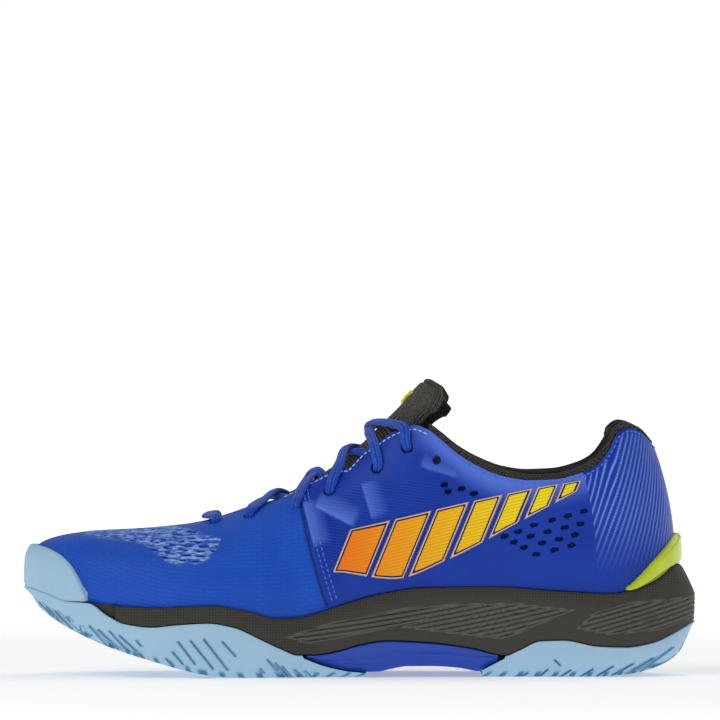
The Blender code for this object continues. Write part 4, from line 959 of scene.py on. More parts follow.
def pressed_facets(x, z):
    """Facets that rise towards a crease and drop sharply across it."""
    lift = np.zeros(np.shape(x))
    for (ax, az), (bx, bz), height, reach in CREASES:
        length = math.hypot(bx - ax, bz - az)
        along = ((x - ax) * (bx - ax) + (z - az) * (bz - az)) / length
        off = ((z - az) * (bx - ax) - (x - ax) * (bz - az)) / length
        inside = smooth_step(along, -1, 1.5) * smooth_step(length - along, -1, 3)
        slope = np.clip(1 - off / reach, 0, 1) * smooth_step(off, -0.25, 0.25)
        lift = np.maximum(lift, height * slope * inside)
    return lift


def leather(name, roughness):
    """Polyurethane leather: satin, faintly clouded blue, with a fine grain of small cells."""
    look = new_look(name, "#0f35a8", roughness, Coat_Weight=0.05, Coat_Roughness=0.35)
    where = node(look, "TexCoord")
    cloud = node(look, "TexNoise", {"Vector": (where, "Object"), "Scale": 45.0, "Detail": 5.0})
    tint = blend(look, (cloud, "Fac"), "#022a94", "#0541b6")
    cells = node(look, "TexVoronoi", {"Vector": (where, "Object"), "Scale": 1400.0})
    return look, masks_of(look), where, cloud, tint, cells


# The sides are moulded with ribs 1.3 mm apart that catch the light.
side_look, mask, where, cloud, side_tint, cells = leather("moulded_synthetic_leather", 0.36)
# Painted highlight along the throat and on the pressed facets.
painted_highlight_tint = blend(side_look, (mask, "Blue"), side_tint, "#5f84ea")
# Painted shade in the eyelets and vents.
painted_shade_tint = blend(side_look, (mask, "Red"), painted_highlight_tint, "#03050f")
shade(side_look, {"Base Color": painted_shade_tint})
ribs_mm = node(side_look, "Mapping", {"Vector": (where, "Object"),
                                      "Rotation": (0.0, math.radians(-7), 0.0),
                                      "Scale": (1000.0, 1000.0, 1000.0)})
rib_axes = node(side_look, "SeparateXYZ", {"Vector": (ribs_mm, 0)})
rib_turn = node(side_look, "Math", {0: (rib_axes, "Z"), 1: 2 * math.pi / RIB_STEP},
                operation="MULTIPLY")
rib_wave = node(side_look, "Math", {0: (rib_turn, 0)}, operation="SINE")
ribs = node(side_look, "Math", {0: (rib_wave, 0), 1: (mask, "Green")}, operation="MULTIPLY")
side_relief = node(side_look, "Math", {0: (cells, "Distance"), 1: 0.35, 2: (ribs, 0)},
                   operation="MULTIPLY_ADD")
emboss(side_look, (side_relief, 0), 0.6, 0.00016)
side_gloss = node(side_look, "MapRange", {"Value": (cloud, "Fac"), "To Min": 0.3, "To Max": 0.44})
shade(side_look, {"Roughness": (side_gloss, 0)})

for side in SIDES:
    front = seam(side, *LAP_SEAM, LAP)
    rear = seam(side, *HEEL_SEAM)
    ends = (rear, front) if side == "medial" else (front, rear)
    u, v = skin_grid(*ends, level(-1), throat_edge, 318, 156)
    plain = skin_surface(u, v)
    x, z = plain[..., 0], plain[..., 2]
    from_front = np.abs(u - front(v))
    from_top = np.linalg.norm(plain - skin_surface(u, throat_edge(u)), axis=-1)
    eyelets = np.maximum(eyelet_dips(plain, (2, 3, 4, 5)), eyelet_dips(plain, (6,), 2.0))
    holes = np.maximum(eyelets, vent_holes(x, z))
    edge = smooth_step(from_front, 0, 0.8)
    lap = np.exp(-(from_front / 11) ** 2)
    proud = QUARTER_PROUD + (EDGE_PROUD - QUARTER_PROUD) * lap
    proud = proud * (0.25 + 0.75 * edge) * (v > -0.02) + pressed_facets(x, z)
    proud = proud - 0.35 * (1 - smooth_step(from_top, 0, 1.0)) - 1.7 * holes
    ribbed = within(x, z, [(-20, 47), (34, 47), (38, 88), (4, 90), (-20, 74)], 5.0)
    # Blue mask: a painted highlight along the throat edge from about x 18 mm back, and on the
    # pressed facets.
    bright = 0.75 * smooth_step(-from_top, -14, -1) * smooth_step(x, 18, 34) * (v > 0)
    bright = np.maximum(bright, pressed_facets(x, z) / 0.9)
    marks = stacked(holes, ribbed * (1 - holes), bright * (1 - holes))
    under = np.where(from_front < 5, -0.04, UPPER_WALL)
    quarter = layer(side + "_quarter_shell", skin(u, v, -proud), skin(u, v, under), [side_look],
                    marks)
    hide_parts(side + "_quarter")

BACKING = speckled("woven_stay_backing", "#0a1f66", "#15369a", 0.85, 1200.0, 0.1)
STIFFENER = speckled("thermoplastic_counter_sheet", "#8f8d88", "#b9b6ae", 0.55, 500.0, 0.1)
for cad_node, look in (("medial_eyestay", BACKING), ("lateral_eyestay", BACKING),
                       ("heel_counter", STIFFENER), ("toe_puff", STIFFENER)):
    refinish(cad_node, look)

# ------------------------------------------------------------------ heel panel
# The back of the upper: the same synthetic, drawn round the heel counter, with fine raised
# lines that fan up to the collar and catch the light.

LINE_PITCH = 2.5
LINE_RELIEF = 0.22

# Embossed leather: the raised lines are painted paler than the ground between them, as a
# painted highlight where they catch the light.
heel_look, mask, _, _, heel_tint, cells = leather("embossed_synthetic_leather", 0.34)
# Painted highlight on the raised lines.
line_tint = blend(heel_look, (mask, "Red"), heel_tint, "#8aa6f4")
shade(heel_look, {"Base Color": line_tint})
emboss(heel_look, (cells, "Distance"), 0.3, 0.0001)

rear_lateral, rear_medial = seam("lateral", *HEEL_SEAM), seam("medial", *HEEL_SEAM)
u, v = skin_grid(lambda v: rear_lateral(v) - ROUND, rear_medial, level(-1), level(1), 300, 150)
plain = skin_surface(u, v)
x, z = plain[..., 0], plain[..., 2]
from_top = np.linalg.norm(plain - skin_surface(u, np.ones_like(v)), axis=-1)
turn = ((-np.abs(u) * 0.9 - (z - 60) / 2.2 - 0.002 * (z - 60) ** 2) / LINE_PITCH) % 1
fan = smooth_step(z, 44, 74) * smooth_step(np.abs(u), 2, 14) * smooth_step(from_top, 1.2, 3)
line = np.exp(-((turn - 0.5) / 0.11) ** 2) * fan
proud = QUARTER_PROUD * (v > -0.02) + LINE_RELIEF * line - 0.35 * (1 - smooth_step(from_top, 0,
                                                                                   1.0))
heel_panel = layer("heel_panel_shell", skin(u, v, -proud), skin(u, v, UPPER_WALL), [heel_look],
                   stacked(line, fan))
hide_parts("heel_panel")

# ------------------------------------------------------------------ forefoot lining
# A soft blue spacer mesh that lines the vamp, glued at its edges.

LINING_REAR = 22

# Spacer mesh: matt round cells, with painted shade in their hollows.
lining_look = new_look("blue_spacer_mesh", "#12308f", 0.92)
where = node(lining_look, "TexCoord")
cells = node(lining_look, "TexVoronoi", {"Vector": (where, "Object"), "Scale": 520.0})
# Painted shade in the cells' hollows.
cell_shade_tint = ramp(lining_look, (cells, "Distance"), "#081a5a", "#1c46b4")
shade(lining_look, {"Base Color": (cell_shade_tint, "Color")})
emboss(lining_look, (cells, "Distance"), 0.8, 0.0004)


def above_board(u):
    """v just above the strobel board, where the inner layers end."""
    edge_x = sole_edge(u)[..., 0]
    return -1 + (STROBEL_WALL + 2 * GAP) / (BITE(edge_x) - FOOTBED(edge_x) - GAP)


def lining_top(u):
    return 0.70 + 0.08 * np.clip((-61 - top_edge(u)[..., 0]) / 4, 0, 1)


u, v = skin_grid(seam("medial", LINING_REAR, LINING_REAR),
                 seam("lateral", LINING_REAR, LINING_REAR), above_board, lining_top, 180, 48)
lining = layer("forefoot_lining_mesh", skin(u, v, LINING_DEPTH), skin(u, v, LINING_DEPTH + 1.0),
               [lining_look])
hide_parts("forefoot_lining")

# ------------------------------------------------------------------ collar
# Thick foam round the ankle, covered in black knit that rolls over the top edge and is
# stitched to the quarters just under it.  The roll shows the knit's loops along its crest.

COLLAR_FRONT = 29
COLLAR_PAD = 7.0
COLLAR_ROLL = 3.6
LAYER_PLAY = 1.2
LOOP_PITCH = (1.5, 1.15)
LOOP_RELIEF = 0.17


def pad_depth(u, v):
    """Thickness of the foam: full round the ankle, thin at the front and low down."""
    forward = smooth_step(sole_edge(u)[..., 0], 38, 78)
    upward = smooth_step(v, 0.5, 0.82)
    return (COLLAR_PAD - 1.0) * forward * upward + 1.0 * upward


def knit_look(name, dark, light, pitch, tilt, sheen):
    """Jersey knit: loops in rows, with fuzz between them; sheen gives its soft outline."""
    look = new_look(name, dark, 0.92, Sheen_Weight=sheen, Sheen_Roughness=0.4)
    parts = masks_of(look)
    coords = node(look, "TexCoord")
    fuzz = node(look, "TexNoise", {"Vector": (coords, "Object"), "Scale": 1100.0, "Detail": 4.0})
    flat = node(look, "UVMap", uv_map="millimetres")
    turned = node(look, "Mapping", {"Vector": (flat, 0),
                                    "Rotation": (0.0, 0.0, math.radians(tilt))})
    loops_node = node(look, "TexBrick", {"Vector": (turned, 0), "Scale": 1.0,
                                         "Brick Width": pitch[0], "Row Height": pitch[1],
                                         "Mortar Size": 0.22, "Mortar Smooth": 1.0})
    # Painted highlight on the crests of the loops and ribs, broken up by the fuzz.
    crest_highlight = node(look, "Math", {0: (fuzz, "Fac"), 1: (parts, "Red")}, operation="MULTIPLY")
    lit = node(look, "Math", {0: (crest_highlight, 0), 1: 1.5}, operation="MULTIPLY", use_clamp=True)
    tint = blend(look, (lit, 0), dark, light)
    shade(look, {"Base Color": tint})
    height = node(look, "Math", {0: (loops_node, "Fac"), 1: -1.0, 2: (fuzz, "Fac")},
                  operation="MULTIPLY_ADD")
    emboss(look, (height, 0), 0.7, 0.00025)
    return look


collar_look = knit_look("black_jersey_knit", "#0a0a0a", "#5c5a55", LOOP_PITCH, 0, 0.08)
us = np.linspace(at(COLLAR_FRONT, "lateral") - ROUND, at(COLLAR_FRONT, "medial"), 541)
wall_levels = np.concatenate([np.linspace(-1, 0.5, 13)[:-1], np.linspace(0.5, 1.0, 55)])
visible, buried = [], []
for part in wall_levels:
    v = above_board(us) * -part if part < 0 else np.full(len(us), part)
    deep = LINING_DEPTH + pad_depth(us, v)
    visible.append(skin(us, v, deep + LINING_WALL))
    buried.append(skin(us, v, deep))
edge = skin(us, 1.0, 0.0)
inward = skin(us, 1.0, 1.0) - edge
rising = unit(skin_surface(us, 1.0) - skin_surface(us, 0.98))
over = LINING_DEPTH + pad_depth(us, np.ones(len(us)))
roll = COLLAR_ROLL * (0.55 + 0.45 * over / over.max())
for turn in np.linspace(6, 180, 39):
    c, s = math.cos(math.radians(turn)), math.sin(math.radians(turn))
    deep = LINING_WALL + (over - LINING_WALL) / 2 * (1 + c)
    deep_seen = deep + LINING_WALL * c
    up_seen = (roll + 0.2) * 0.85 * s + 0.8
    visible.append(edge + inward * deep_seen[:, None] + rising * up_seen[:, None])
    buried.append(edge + inward * deep[:, None] + rising * (roll * s + LAYER_PLAY)[:, None])
for drop, tuck in ((0.6, 0.25), (-0.6, 0.7), (-1.4, 0.9)):
    visible.append(edge + inward * tuck + rising * drop)
    buried.append(edge + inward * (tuck + 0.8) + rising * (drop + 0.2))
visible, buried = np.stack(visible, axis=1), np.stack(buried, axis=1)
run = wall_run(visible)
round_run = wall_run(visible[None, :, 60])[0][:, None] * np.ones_like(run)
facing = unit(np.cross(np.gradient(visible, axis=1), np.gradient(visible, axis=0)))
stagger = (np.floor(run / LOOP_PITCH[1]) % 2) * 0.5
loop_height = np.abs(np.sin(math.pi * (round_run / LOOP_PITCH[0] + stagger)))
loop_height = loop_height * np.abs(np.sin(math.pi * run / LOOP_PITCH[1])) ** 0.6
puff = 0.25 * np.sin(round_run / 9.0) * np.sin(run / 7.0)
back = len(us) // 2, 60
toward = np.sign(np.sum(facing[back] * (visible[back] - buried[back])))
ends = smooth_step(np.minimum(np.arange(len(us)), np.arange(len(us))[::-1]) * 0.45, 0, 4)[:, None]
visible = visible + facing * toward * (LOOP_RELIEF * loop_height + puff * ends)[..., None]
# Red is the loops' height, which the knit's material turns into painted highlight.
collar = layer("collar_knit", visible, buried, [collar_look], stacked(loop_height),
               np.stack([round_run, run], -1))
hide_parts("collar_lining")
PADDING = speckled("open_cell_foam", "#8d8a80", "#c9c5b8", 0.95, 800.0, 0.3)
refinish("collar_foam", PADDING)

# ------------------------------------------------------------------ tongue
# A foam pad in black ribbed knit, sewn to the vamp at its front end and bound round its free
# edge.  The ribs run slantwise from its middle line; the inner face is plain mesh.

EYESTAY_DEPTH = 2.8
EYESTAY_WALL = 1.1
LACE_RADIUS = 1.4
LACE_PLAY = 0.5
LACE_OUT = -(LACE_RADIUS + LACE_PLAY)
LACE_IN = EYESTAY_DEPTH + EYESTAY_WALL + LACE_RADIUS + LACE_PLAY
TONGUE_DEPTH = LACE_IN + LACE_RADIUS + 3.5 * LACE_PLAY
TONGUE_THICK = 7.2
TIP_EXTRA = 6.0
TONGUE_TOP = line_of([(-64, 61), (-54, 67), (-44, 73), (-34, 79), (-20, 86.5), (-8, 94.8),
                      (3, 104), (13, 114), (18.5, 119.5)])
TONGUE_ROWS = [(-62, -60), (-54, -52), (-44, -43), (-33, -34), (-21, -24), (-9, -13), (2, -1),
               (12, 11)]
TONGUE_TIP = [(18.5, 119.5, 26, 112, 14.5), (23.5, 125.5, 33, 118, 16.5), (28, 130, 36, 124, 15.5),
              (31.5, 132.4, 36, 129.5, 10)]
TONGUE_LEVELS = np.array([0.72, 0.79, 0.86, 0.93])
TIP_SPREAD = np.array([-1, -0.78, -0.54, -0.28, 0, 0.28, 0.54, 0.78, 1])
RIB_PITCH = 1.5
RIB_RELIEF = 0.32


def top_u(x, side):
    """u where the throat edge passes x."""
    us = FINE_U[:TOE_INDEX] if side == "medial" else FINE_U[:TOE_INDEX:-1]
    return float(np.interp(-x, -top_edge(us)[:, 0], us))


def tongue_rows():
    rows = []
    for middle_x, side_x in TONGUE_ROWS:
        near = skin(np.full(4, top_u(side_x, "medial")), TONGUE_LEVELS, TONGUE_DEPTH)
        far = skin(np.full(4, top_u(side_x, "lateral")), TONGUE_LEVELS, TONGUE_DEPTH)
        middle = np.array([[middle_x, (near[-1, 1] + far[-1, 1]) / 2, TONGUE_TOP(middle_x)]])
        rows.append(np.concatenate([near, middle, far[::-1]]))
    for middle_x, middle_z, side_x, side_z, half in TONGUE_TIP:
        bow = TIP_SPREAD ** 2
        rows.append(np.stack([middle_x + (side_x - middle_x) * bow, half * TIP_SPREAD,
                              middle_z + (side_z - middle_z) * bow], axis=-1))
    return np.array(rows)


def spread(grid, row, col):
    """Points of a smooth surface through a grid, at fractional rows and columns."""
    def weights(t):
        return [(-t + 2 * t ** 2 - t ** 3) / 2, (2 - 5 * t ** 2 + 3 * t ** 3) / 2,
                (t + 4 * t ** 2 - 3 * t ** 3) / 2, (-t ** 2 + t ** 3) / 2]
    padded = np.pad(grid, ((1, 1), (1, 1), (0, 0)), mode="reflect", reflect_type="odd")
    i = np.clip(np.floor(row).astype(int), 0, grid.shape[0] - 2)
    j = np.clip(np.floor(col).astype(int), 0, grid.shape[1] - 2)
    total = 0
    for a, weight_a in enumerate(weights(row - i)):
        for b, weight_b in enumerate(weights(col - j)):
            total = total + padded[i + a, j + b] * (weight_a * weight_b)[..., None]
    return total


def outward_of(points):
    return unit(np.cross(np.gradient(points, axis=0), np.gradient(points, axis=1)))


coarse = tongue_rows()
row, col = np.meshgrid(np.linspace(0, 11, 271), np.linspace(0, 8, 145), indexing="ij")
face = spread(coarse, row, col)
out = outward_of(face)
up_run = np.cumsum(np.linalg.norm(np.diff(face, axis=0, prepend=face[:1]), axis=2), axis=0)
side_run = wall_run(face)
side_mid = side_run - side_run[:, 72:73]
from_side = np.minimum(side_run, side_run[:, -1:] - side_run)
from_tip = up_run[-1:] - up_run
edge_gap = np.minimum(from_side, from_tip)
crown = np.sqrt(np.clip(1 - (1 - np.clip(edge_gap / 3.8, 0, 1)) ** 2, 0, 1))
rib_turn = (up_run + 0.95 * np.abs(side_mid)) / RIB_PITCH
free = smooth_step(row, 7.3, 8.2)
binding = (1 - smooth_step(edge_gap, 3.6, 4.6)) * free
rib = (0.5 + 0.5 * np.cos(2 * math.pi * rib_turn)) ** 1.5 * (1 - binding)
loops = np.abs(np.sin(math.pi * up_run / 1.2) * np.sin(math.pi * side_run / 1.2))
binding_seam = np.exp(-((edge_gap - 4.4) / 0.7) ** 2) * free
relief = RIB_RELIEF * rib + 0.2 * loops * binding - 0.7 * binding_seam
thick = TONGUE_THICK + TIP_EXTRA * smooth_step(row, 6.5, 9.0)
outer = face - out * (TONGUE_THICK / 2 * (1 - crown) - relief * crown)[..., None]
inner = face - out * (thick - TONGUE_THICK / 2 * (1 - crown))[..., None]
tongue_look = knit_look("black_ribbed_knit", "#0a0a0a", "#8a8880", (1.3, 1.3), 45, 0.08)
# Red is the ribs and the binding's loops, for painted highlight on their crests.
marks = stacked(np.maximum(rib, loops * binding * 0.7), binding)
tongue = layer("tongue_cover", outer[:, ::-1], inner[:, ::-1], [tongue_look], marks[:, ::-1],
               np.stack([side_mid, up_run], -1)[:, ::-1], body="tongue", step=2)
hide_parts("tongue_knit", "tongue_foam", "tongue_lining")

# A small woven tab on the tongue, with a plain chevron in its weave and turned-under ends.
label_row, label_col = np.meshgrid(np.linspace(8.05, 9.0, 61), np.linspace(3.1, 4.9, 73),
                                   indexing="ij")
label_face = spread(coarse, label_row, label_col)
label_out = outward_of(label_face)
label_across = np.linspace(-1, 1, 73)[None, :]
label_up = np.linspace(-1, 1, 61)[:, None]
soft_edge = smooth_step(1 - np.abs(label_across), 0, 0.08)
soft_edge = soft_edge * smooth_step(1 - np.abs(label_up), 0, 0.1)
chevron = smooth_step(-np.abs(label_up * 1.2 + 0.7 * np.abs(label_across) - 0.3), -0.3, -0.2)
chevron = chevron * (np.abs(label_across) < 0.7)
# Woven tape: satin yarn, two yellows a pick, with dark yarn in the chevron.
label_look = new_look("woven_yellow_tape", "#e6ea2e", 0.7)
mask = masks_of(label_look)
flat_mm = node(label_look, "UVMap", uv_map="millimetres")
threads = node(label_look, "TexBrick", {"Vector": (flat_mm, 0), "Scale": 1.0, "Brick Width": 0.8,
                                        "Row Height": 0.4, "Mortar Size": 0.08,
                                        "Mortar Smooth": 1.0, "Color1": "#f0f03c",
                                        "Color2": "#d6da22", "Mortar": "#8e9010"})
label_tint = blend(label_look, (mask, "Red"), (threads, "Color"), "#2a2a12")
shade(label_look, {"Base Color": label_tint})
emboss(label_look, (threads, "Fac"), -0.6, 0.0002)
label_proud = (0.5 + 0.7 * soft_edge)[..., None]
label = layer("tongue_tab", (label_face + label_out * label_proud)[:, ::-1],
              (label_face + label_out * 0.3)[:, ::-1], [label_look],
              stacked(chevron)[:, ::-1],
              np.stack(np.broadcast_arrays(label_across * 6, label_up * 4), -1)[:, ::-1],
              body="tongue")
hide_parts("tongue_label")

# ------------------------------------------------------------------ laces
# One tubular braided polyester lace, pressed flat.  It bars the lowest eyelets and
# crosses up to the sixth; its ends are tucked inside the shoe along the sockliner.

LACE_WIDE = 4.6
LACE_THICK = 2.1
LACE_IN_HOLE = 3.9
END_WIDE = 3.6
LACE_STEP = 0.8
BRAID_STEP = 1.6
AROUND = 40
CORD_RIBS = 5
CROSSINGS = (0.45, 0.6, 0.6, 0.4, -0.2)
EDGE_SHIFTS = (0.0, 3.5, 3.5, 3.5, -2.5)


def laced_route():
    """Route from the lateral top eyelet round the front bar to the medial one."""
    def on(side, row, back, rise, depth):
        spot_u, spot_v = eyelet_spots[side][0][row], eyelet_spots[side][1][row]
        heelward = -1 if side == "medial" else 1
        return skin(spot_u + heelward * back, spot_v + (1 - spot_v) * rise, depth)

    def middle(row, share, lift):
        x = EYELETS[row][0] + (EYELETS[row + 1][0] - EYELETS[row][0]) * share
        return np.array([x, 0.0, float(TONGUE_TOP(x)) + lift])

    def half(side, lift):
        other = {"medial": "lateral", "lateral": "medial"}
        route = [on(side, 0, 0, 0.1, LACE_OUT), on(side, 0, 0, 0, UPPER_WALL),
                 on(side, 0, 1, -0.1, LACE_IN), middle(0, 0.45, lift + 1.0)]
        here = other[side]
        route += [on(here, 1, -3, 0.3, LACE_IN)]
        for row in range(1, 5):
            there = other[here]
            route += [on(here, row, -0.5, 0, LACE_IN), on(here, row, 0, 0, UPPER_WALL),
                      on(here, row, 1.0, 0.1, LACE_OUT),
                      on(here, row, EDGE_SHIFTS[row], 1.0, -LACE_THICK / 2 - 0.4)]
            route += [middle(row, CROSSINGS[row], lift + (2.0 if row == 4 else 0.0))]
            if row < 4:
                route += [on(there, row + 1, -5, 1.0, LACE_IN + 0.1),
                          on(there, row + 1, -3, 0.4, LACE_IN + 0.7)]
            else:
                route += [on(there, 5, -3, 1.0, LACE_OUT), on(there, 5, -0.5, 0.25, LACE_OUT),
                          on(there, 5, 0, 0, UPPER_WALL), on(there, 5, 0, 0, LACE_IN - 1.2)]
            here = there
        return route

    low = LACE_THICK / 2 + 0.5
    high = low + LACE_THICK + 0.2
    bar = [skin(top_u(-67.5, "medial"), 1.0, LACE_OUT - 0.6)]
    return np.array(half("medial", low)[::-1] + bar + half("lateral", high))


def smooth_route(points, spacing):
    """Evenly spaced points on a smooth curve through a route, and its length."""
    points = np.asarray(points, float)
    padded = np.concatenate([[2 * points[0] - points[1]], points, [2 * points[-1] - points[-2]]])
    fine = []
    for i in range(len(points) - 1):
        a, b, c, d = padded[i:i + 4]
        for t in np.linspace(0, 1, 12, endpoint=False):
            fine.append(0.5 * (2 * b + (c - a) * t + (2 * a - 5 * b + 4 * c - d) * t ** 2
                               + (3 * b - a - 3 * c + d) * t ** 3))
    fine = np.array(fine + [points[-1]])
    run = np.concatenate([[0], np.cumsum(np.linalg.norm(np.diff(fine, axis=0), axis=1))])
    even = np.linspace(0, run[-1], max(2, int(run[-1] / spacing) + 1))
    return np.stack([np.interp(even, run, fine[:, k]) for k in range(3)], axis=-1), run[-1]


def ribbon(name, line, wide, thick, facing, looks, body="shoe"):
    """A flattened tube along a line; facing is the way its broad face looks at each point."""
    ahead = unit(np.gradient(line, axis=0))
    across = np.zeros_like(line)
    last = np.cross(ahead[0], facing[0])
    for i in range(len(line)):
        carried = last - ahead[i] * (last @ ahead[i])
        carried /= np.linalg.norm(carried)
        wish = np.cross(ahead[i], facing[i])
        sure = np.linalg.norm(wish)
        if wish @ carried < 0:
            wish = -wish
        pull = 0.12 * min(1.0, sure) ** 2
        last = carried * (1 - pull) + wish / max(sure, 1e-6) * pull
        last -= ahead[i] * (last @ ahead[i])
        last /= np.linalg.norm(last)
        across[i] = last
    for _ in range(3):
        across[1:-1] = (across[:-2] + 2 * across[1:-1] + across[2:]) / 4
    across = unit(across - ahead * np.sum(across * ahead, axis=1, keepdims=True))
    up = np.cross(across, ahead)
    angle = np.linspace(0, 2 * math.pi, AROUND, endpoint=False)
    c, s = np.cos(angle), np.sin(angle)
    out_c = np.sign(c) * np.abs(c) ** 0.8
    out_s = np.sign(s) * np.abs(s) ** 0.8
    run = np.cumsum(np.linalg.norm(np.diff(line, axis=0, prepend=line[:1]), axis=1))
    ribs = 1 + 0.10 * np.abs(np.cos(angle * CORD_RIBS))
    braid = 0.05 * np.sin(run[:, None] * 2 * math.pi / BRAID_STEP)
    half_wide, half_thick = (wide / 2)[:, None], (thick / 2)[:, None]
    ring = line[:, None] + across[:, None] * (half_wide * out_c * (1 + braid * 0.5))[..., None]
    ring = ring + up[:, None] * (half_thick * out_s * (ribs + braid))[..., None]
    rows = len(line)
    index = np.arange(rows * AROUND).reshape(rows, AROUND)
    faces = quads(index, closed=True) + [index[0, ::-1].tolist(), index[-1].tolist()]
    spin = np.minimum(angle, 2 * math.pi - angle) / math.pi * LACE_WIDE
    uv = np.stack(np.broadcast_arrays(run[:, None], spin), -1).reshape(-1, 2)
    # The valleys between the cords, which the lace's material darkens as painted shade.
    valley = np.broadcast_to(1 - np.abs(np.cos(angle * CORD_RIBS)), ring.shape[:2])
    marks = stacked(valley).reshape(-1, 3)
    return make_piece(name, ring.reshape(-1, 3), faces, looks, uv, marks, body)


# Braided polyester: bright, low sheen, with lengthwise cords 0.9 mm apart and a slanted braid.
lace_look = new_look("braided_blue_polyester", "#1e50d0", 0.7, Sheen_Weight=0.2)
mask = masks_of(lace_look)
flat_mm = node(lace_look, "UVMap", uv_map="millimetres")
slant = node(lace_look, "Mapping", {"Vector": (flat_mm, 0),
                                    "Rotation": (0.0, 0.0, math.radians(32))})
braid = node(lace_look, "TexBrick", {"Vector": (slant, 0), "Scale": 1.0, "Brick Width": 1.4,
                                     "Row Height": 0.62, "Mortar Size": 0.12, "Mortar Smooth": 1.0,
                                     "Color1": "#0f55d8", "Color2": "#2270ea", "Mortar": "#0a3590"})
# Painted shade in the valleys between the cords.
cord_valley_shade_tint = blend(lace_look, (mask, "Red"), (braid, "Color"), "#062a84")
shade(lace_look, {"Base Color": cord_valley_shade_tint})
emboss(lace_look, (braid, "Fac"), -0.7, 0.0002)


def lace_facing(points):
    """Away from a line through the middle of the instep."""
    axis_z = CREST(points[:, 0]) - 34
    away = np.stack([-0.5 * np.abs(points[:, 2] - axis_z), points[:, 1] * 1.1,
                     points[:, 2] - axis_z], axis=-1)
    return unit(away)


route, _ = smooth_route(laced_route(), LACE_STEP)
hole_gap = np.full(len(route), 1e3)
for side in SIDES:
    for spot in eyelet_spots[side][2][:6]:
        hole_gap = np.minimum(hole_gap, np.linalg.norm(route - spot, axis=1))
easing = smooth_step(hole_gap, 1.5, 6)
lace = ribbon("laced_cord", route, LACE_IN_HOLE + (LACE_WIDE - LACE_IN_HOLE) * easing,
              LACE_THICK + 0.6 * (1 - easing), lace_facing(route), [lace_look])
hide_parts("lace")

END_ON_WALL = [(29.5, 92.5, 2.0), (33, 84, 1.5), (34, 70, 1.5), (31, 55, 2.0), (24, 43, 3.5)]
END_ON_SOCKLINER = [(15, 17), (4, 16.5), (-8, 19), (-22, 23), (-38, 27), (-54, 29), (-68, 28),
                    (-78, 24), (-82, 17.5), (-78, 11.5), (-68, 9)]
AGLET = speckled("clear_blue_aglet_film", "#16389a", "#3a68d8", 0.22, 200.0, 0.03)

for side, sign in SIDES.items():
    inside = LINING_DEPTH + LINING_WALL + LACE_RADIUS + LACE_PLAY
    spot_u, spot_v = eyelet_spots[side][0][5], eyelet_spots[side][1][5]
    turn_u, turn_v = find_on_skin(25.5, 97, side)
    end_route = [skin(spot_u, spot_v, LACE_IN + 0.1), skin(spot_u, spot_v - 0.003, LACE_IN + 0.9),
                 skin(turn_u, turn_v, LACE_IN + 1.2)[0]]
    for x, z, past in END_ON_WALL:
        wall_u, wall_v = find_on_skin(x, z, side)
        end_route.append(skin(wall_u, wall_v, inside + past)[0])
    rest = LACE_RADIUS + LAYER_PLAY + GAP
    for x, y in END_ON_SOCKLINER:
        floor_z = float(FOOTBED(x)) + 2 * GAP + STROBEL_WALL + SOCKLINER_WALL
        end_route.append(np.array([x, sign * y, floor_z + rest]))
    line, end_length = smooth_route(end_route, LACE_STEP)
    facing = -lace_facing(line)
    flat_part = smooth_step(-line[:, 2], -40, -32)[:, None]
    facing = facing * (1 - flat_part) + np.array([0, 0, 1.0]) * flat_part
    end = ribbon("loose_lace_end_" + side, line, np.full(len(line), END_WIDE),
                 np.full(len(line), LACE_THICK), facing, [lace_look])
    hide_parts("lace_end_" + side)
    refinish("aglet_" + side, AGLET)

# ------------------------------------------------------------------ toe guard
# A bumper of the same pale rubber, pressed to the toe's shape and cemented over the vamp, where
# a player drags the foot.  Its free edge is rounded.

GUARD_WALL = 2.0
GUARD_REAR = -121.5
OVERLAY_PLAY = 0.6
GUARD_TOP = line_of([(-147, 57.5), (-140, 56.6), (-134, 54.6), (-128, 50), (-124, 44),
                     (-120.5, 37)])


def height_level(line):
    """v at which the wall reaches the height that a line gives."""
    def v_of(u):
        u = np.asarray(u, float)
        v = np.full(u.shape, 0.4)
        for _ in range(30):
            here = skin_surface(u, v)
            slope = (skin_surface(u, v + 0.01)[..., 2] - here[..., 2]) / 0.01
            want = line(here[..., 0])
            step = np.clip((want - here[..., 2]) / np.maximum(slope, 5), -0.1, 0.1)
            v = np.clip(v + step, 0.02, 1)
        return v
    return v_of


def rounded(gap, radius):
    """0 at an edge to 1 past the radius, along a quarter circle."""
    return np.sqrt(np.clip(1 - (1 - np.clip(gap / radius, 0, 1)) ** 2, 0, 1))


guard_ends = seam("medial", GUARD_REAR, GUARD_REAR), seam("lateral", GUARD_REAR, GUARD_REAR)
u, v = skin_grid(*guard_ends, level(0.0), height_level(GUARD_TOP), 240, 66)
plain = skin_surface(u, v)
from_top = np.linalg.norm(plain - plain[:, -1:], axis=-1)
edge_gap = np.minimum(from_top, np.minimum(u - guard_ends[0](v), guard_ends[1](v) - u))
proud = 0.15 + (OVERLAY_PLAY + GUARD_WALL - 0.15) * rounded(edge_gap, 1.9)
proud = proud - 0.5 * np.exp(-(wall_run(plain) / 0.8) ** 2)
guard_face, guard_back = skin(u, v, -proud), skin(u, v, 0.0)
drop = 0.95 * np.exp(-(wall_run(plain) / 2.5) ** 2)
guard_face[..., 2] -= drop
guard = layer("toe_bumper", guard_face, guard_back, [rubber],
              np.zeros(u.shape + (3,)))
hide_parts("toe_guard")

# ------------------------------------------------------------------ heel clip
# A translucent yellow-green TPU cup that holds the heel to the midsole, injection moulded with
# a rolled upper lip over a recessed band.

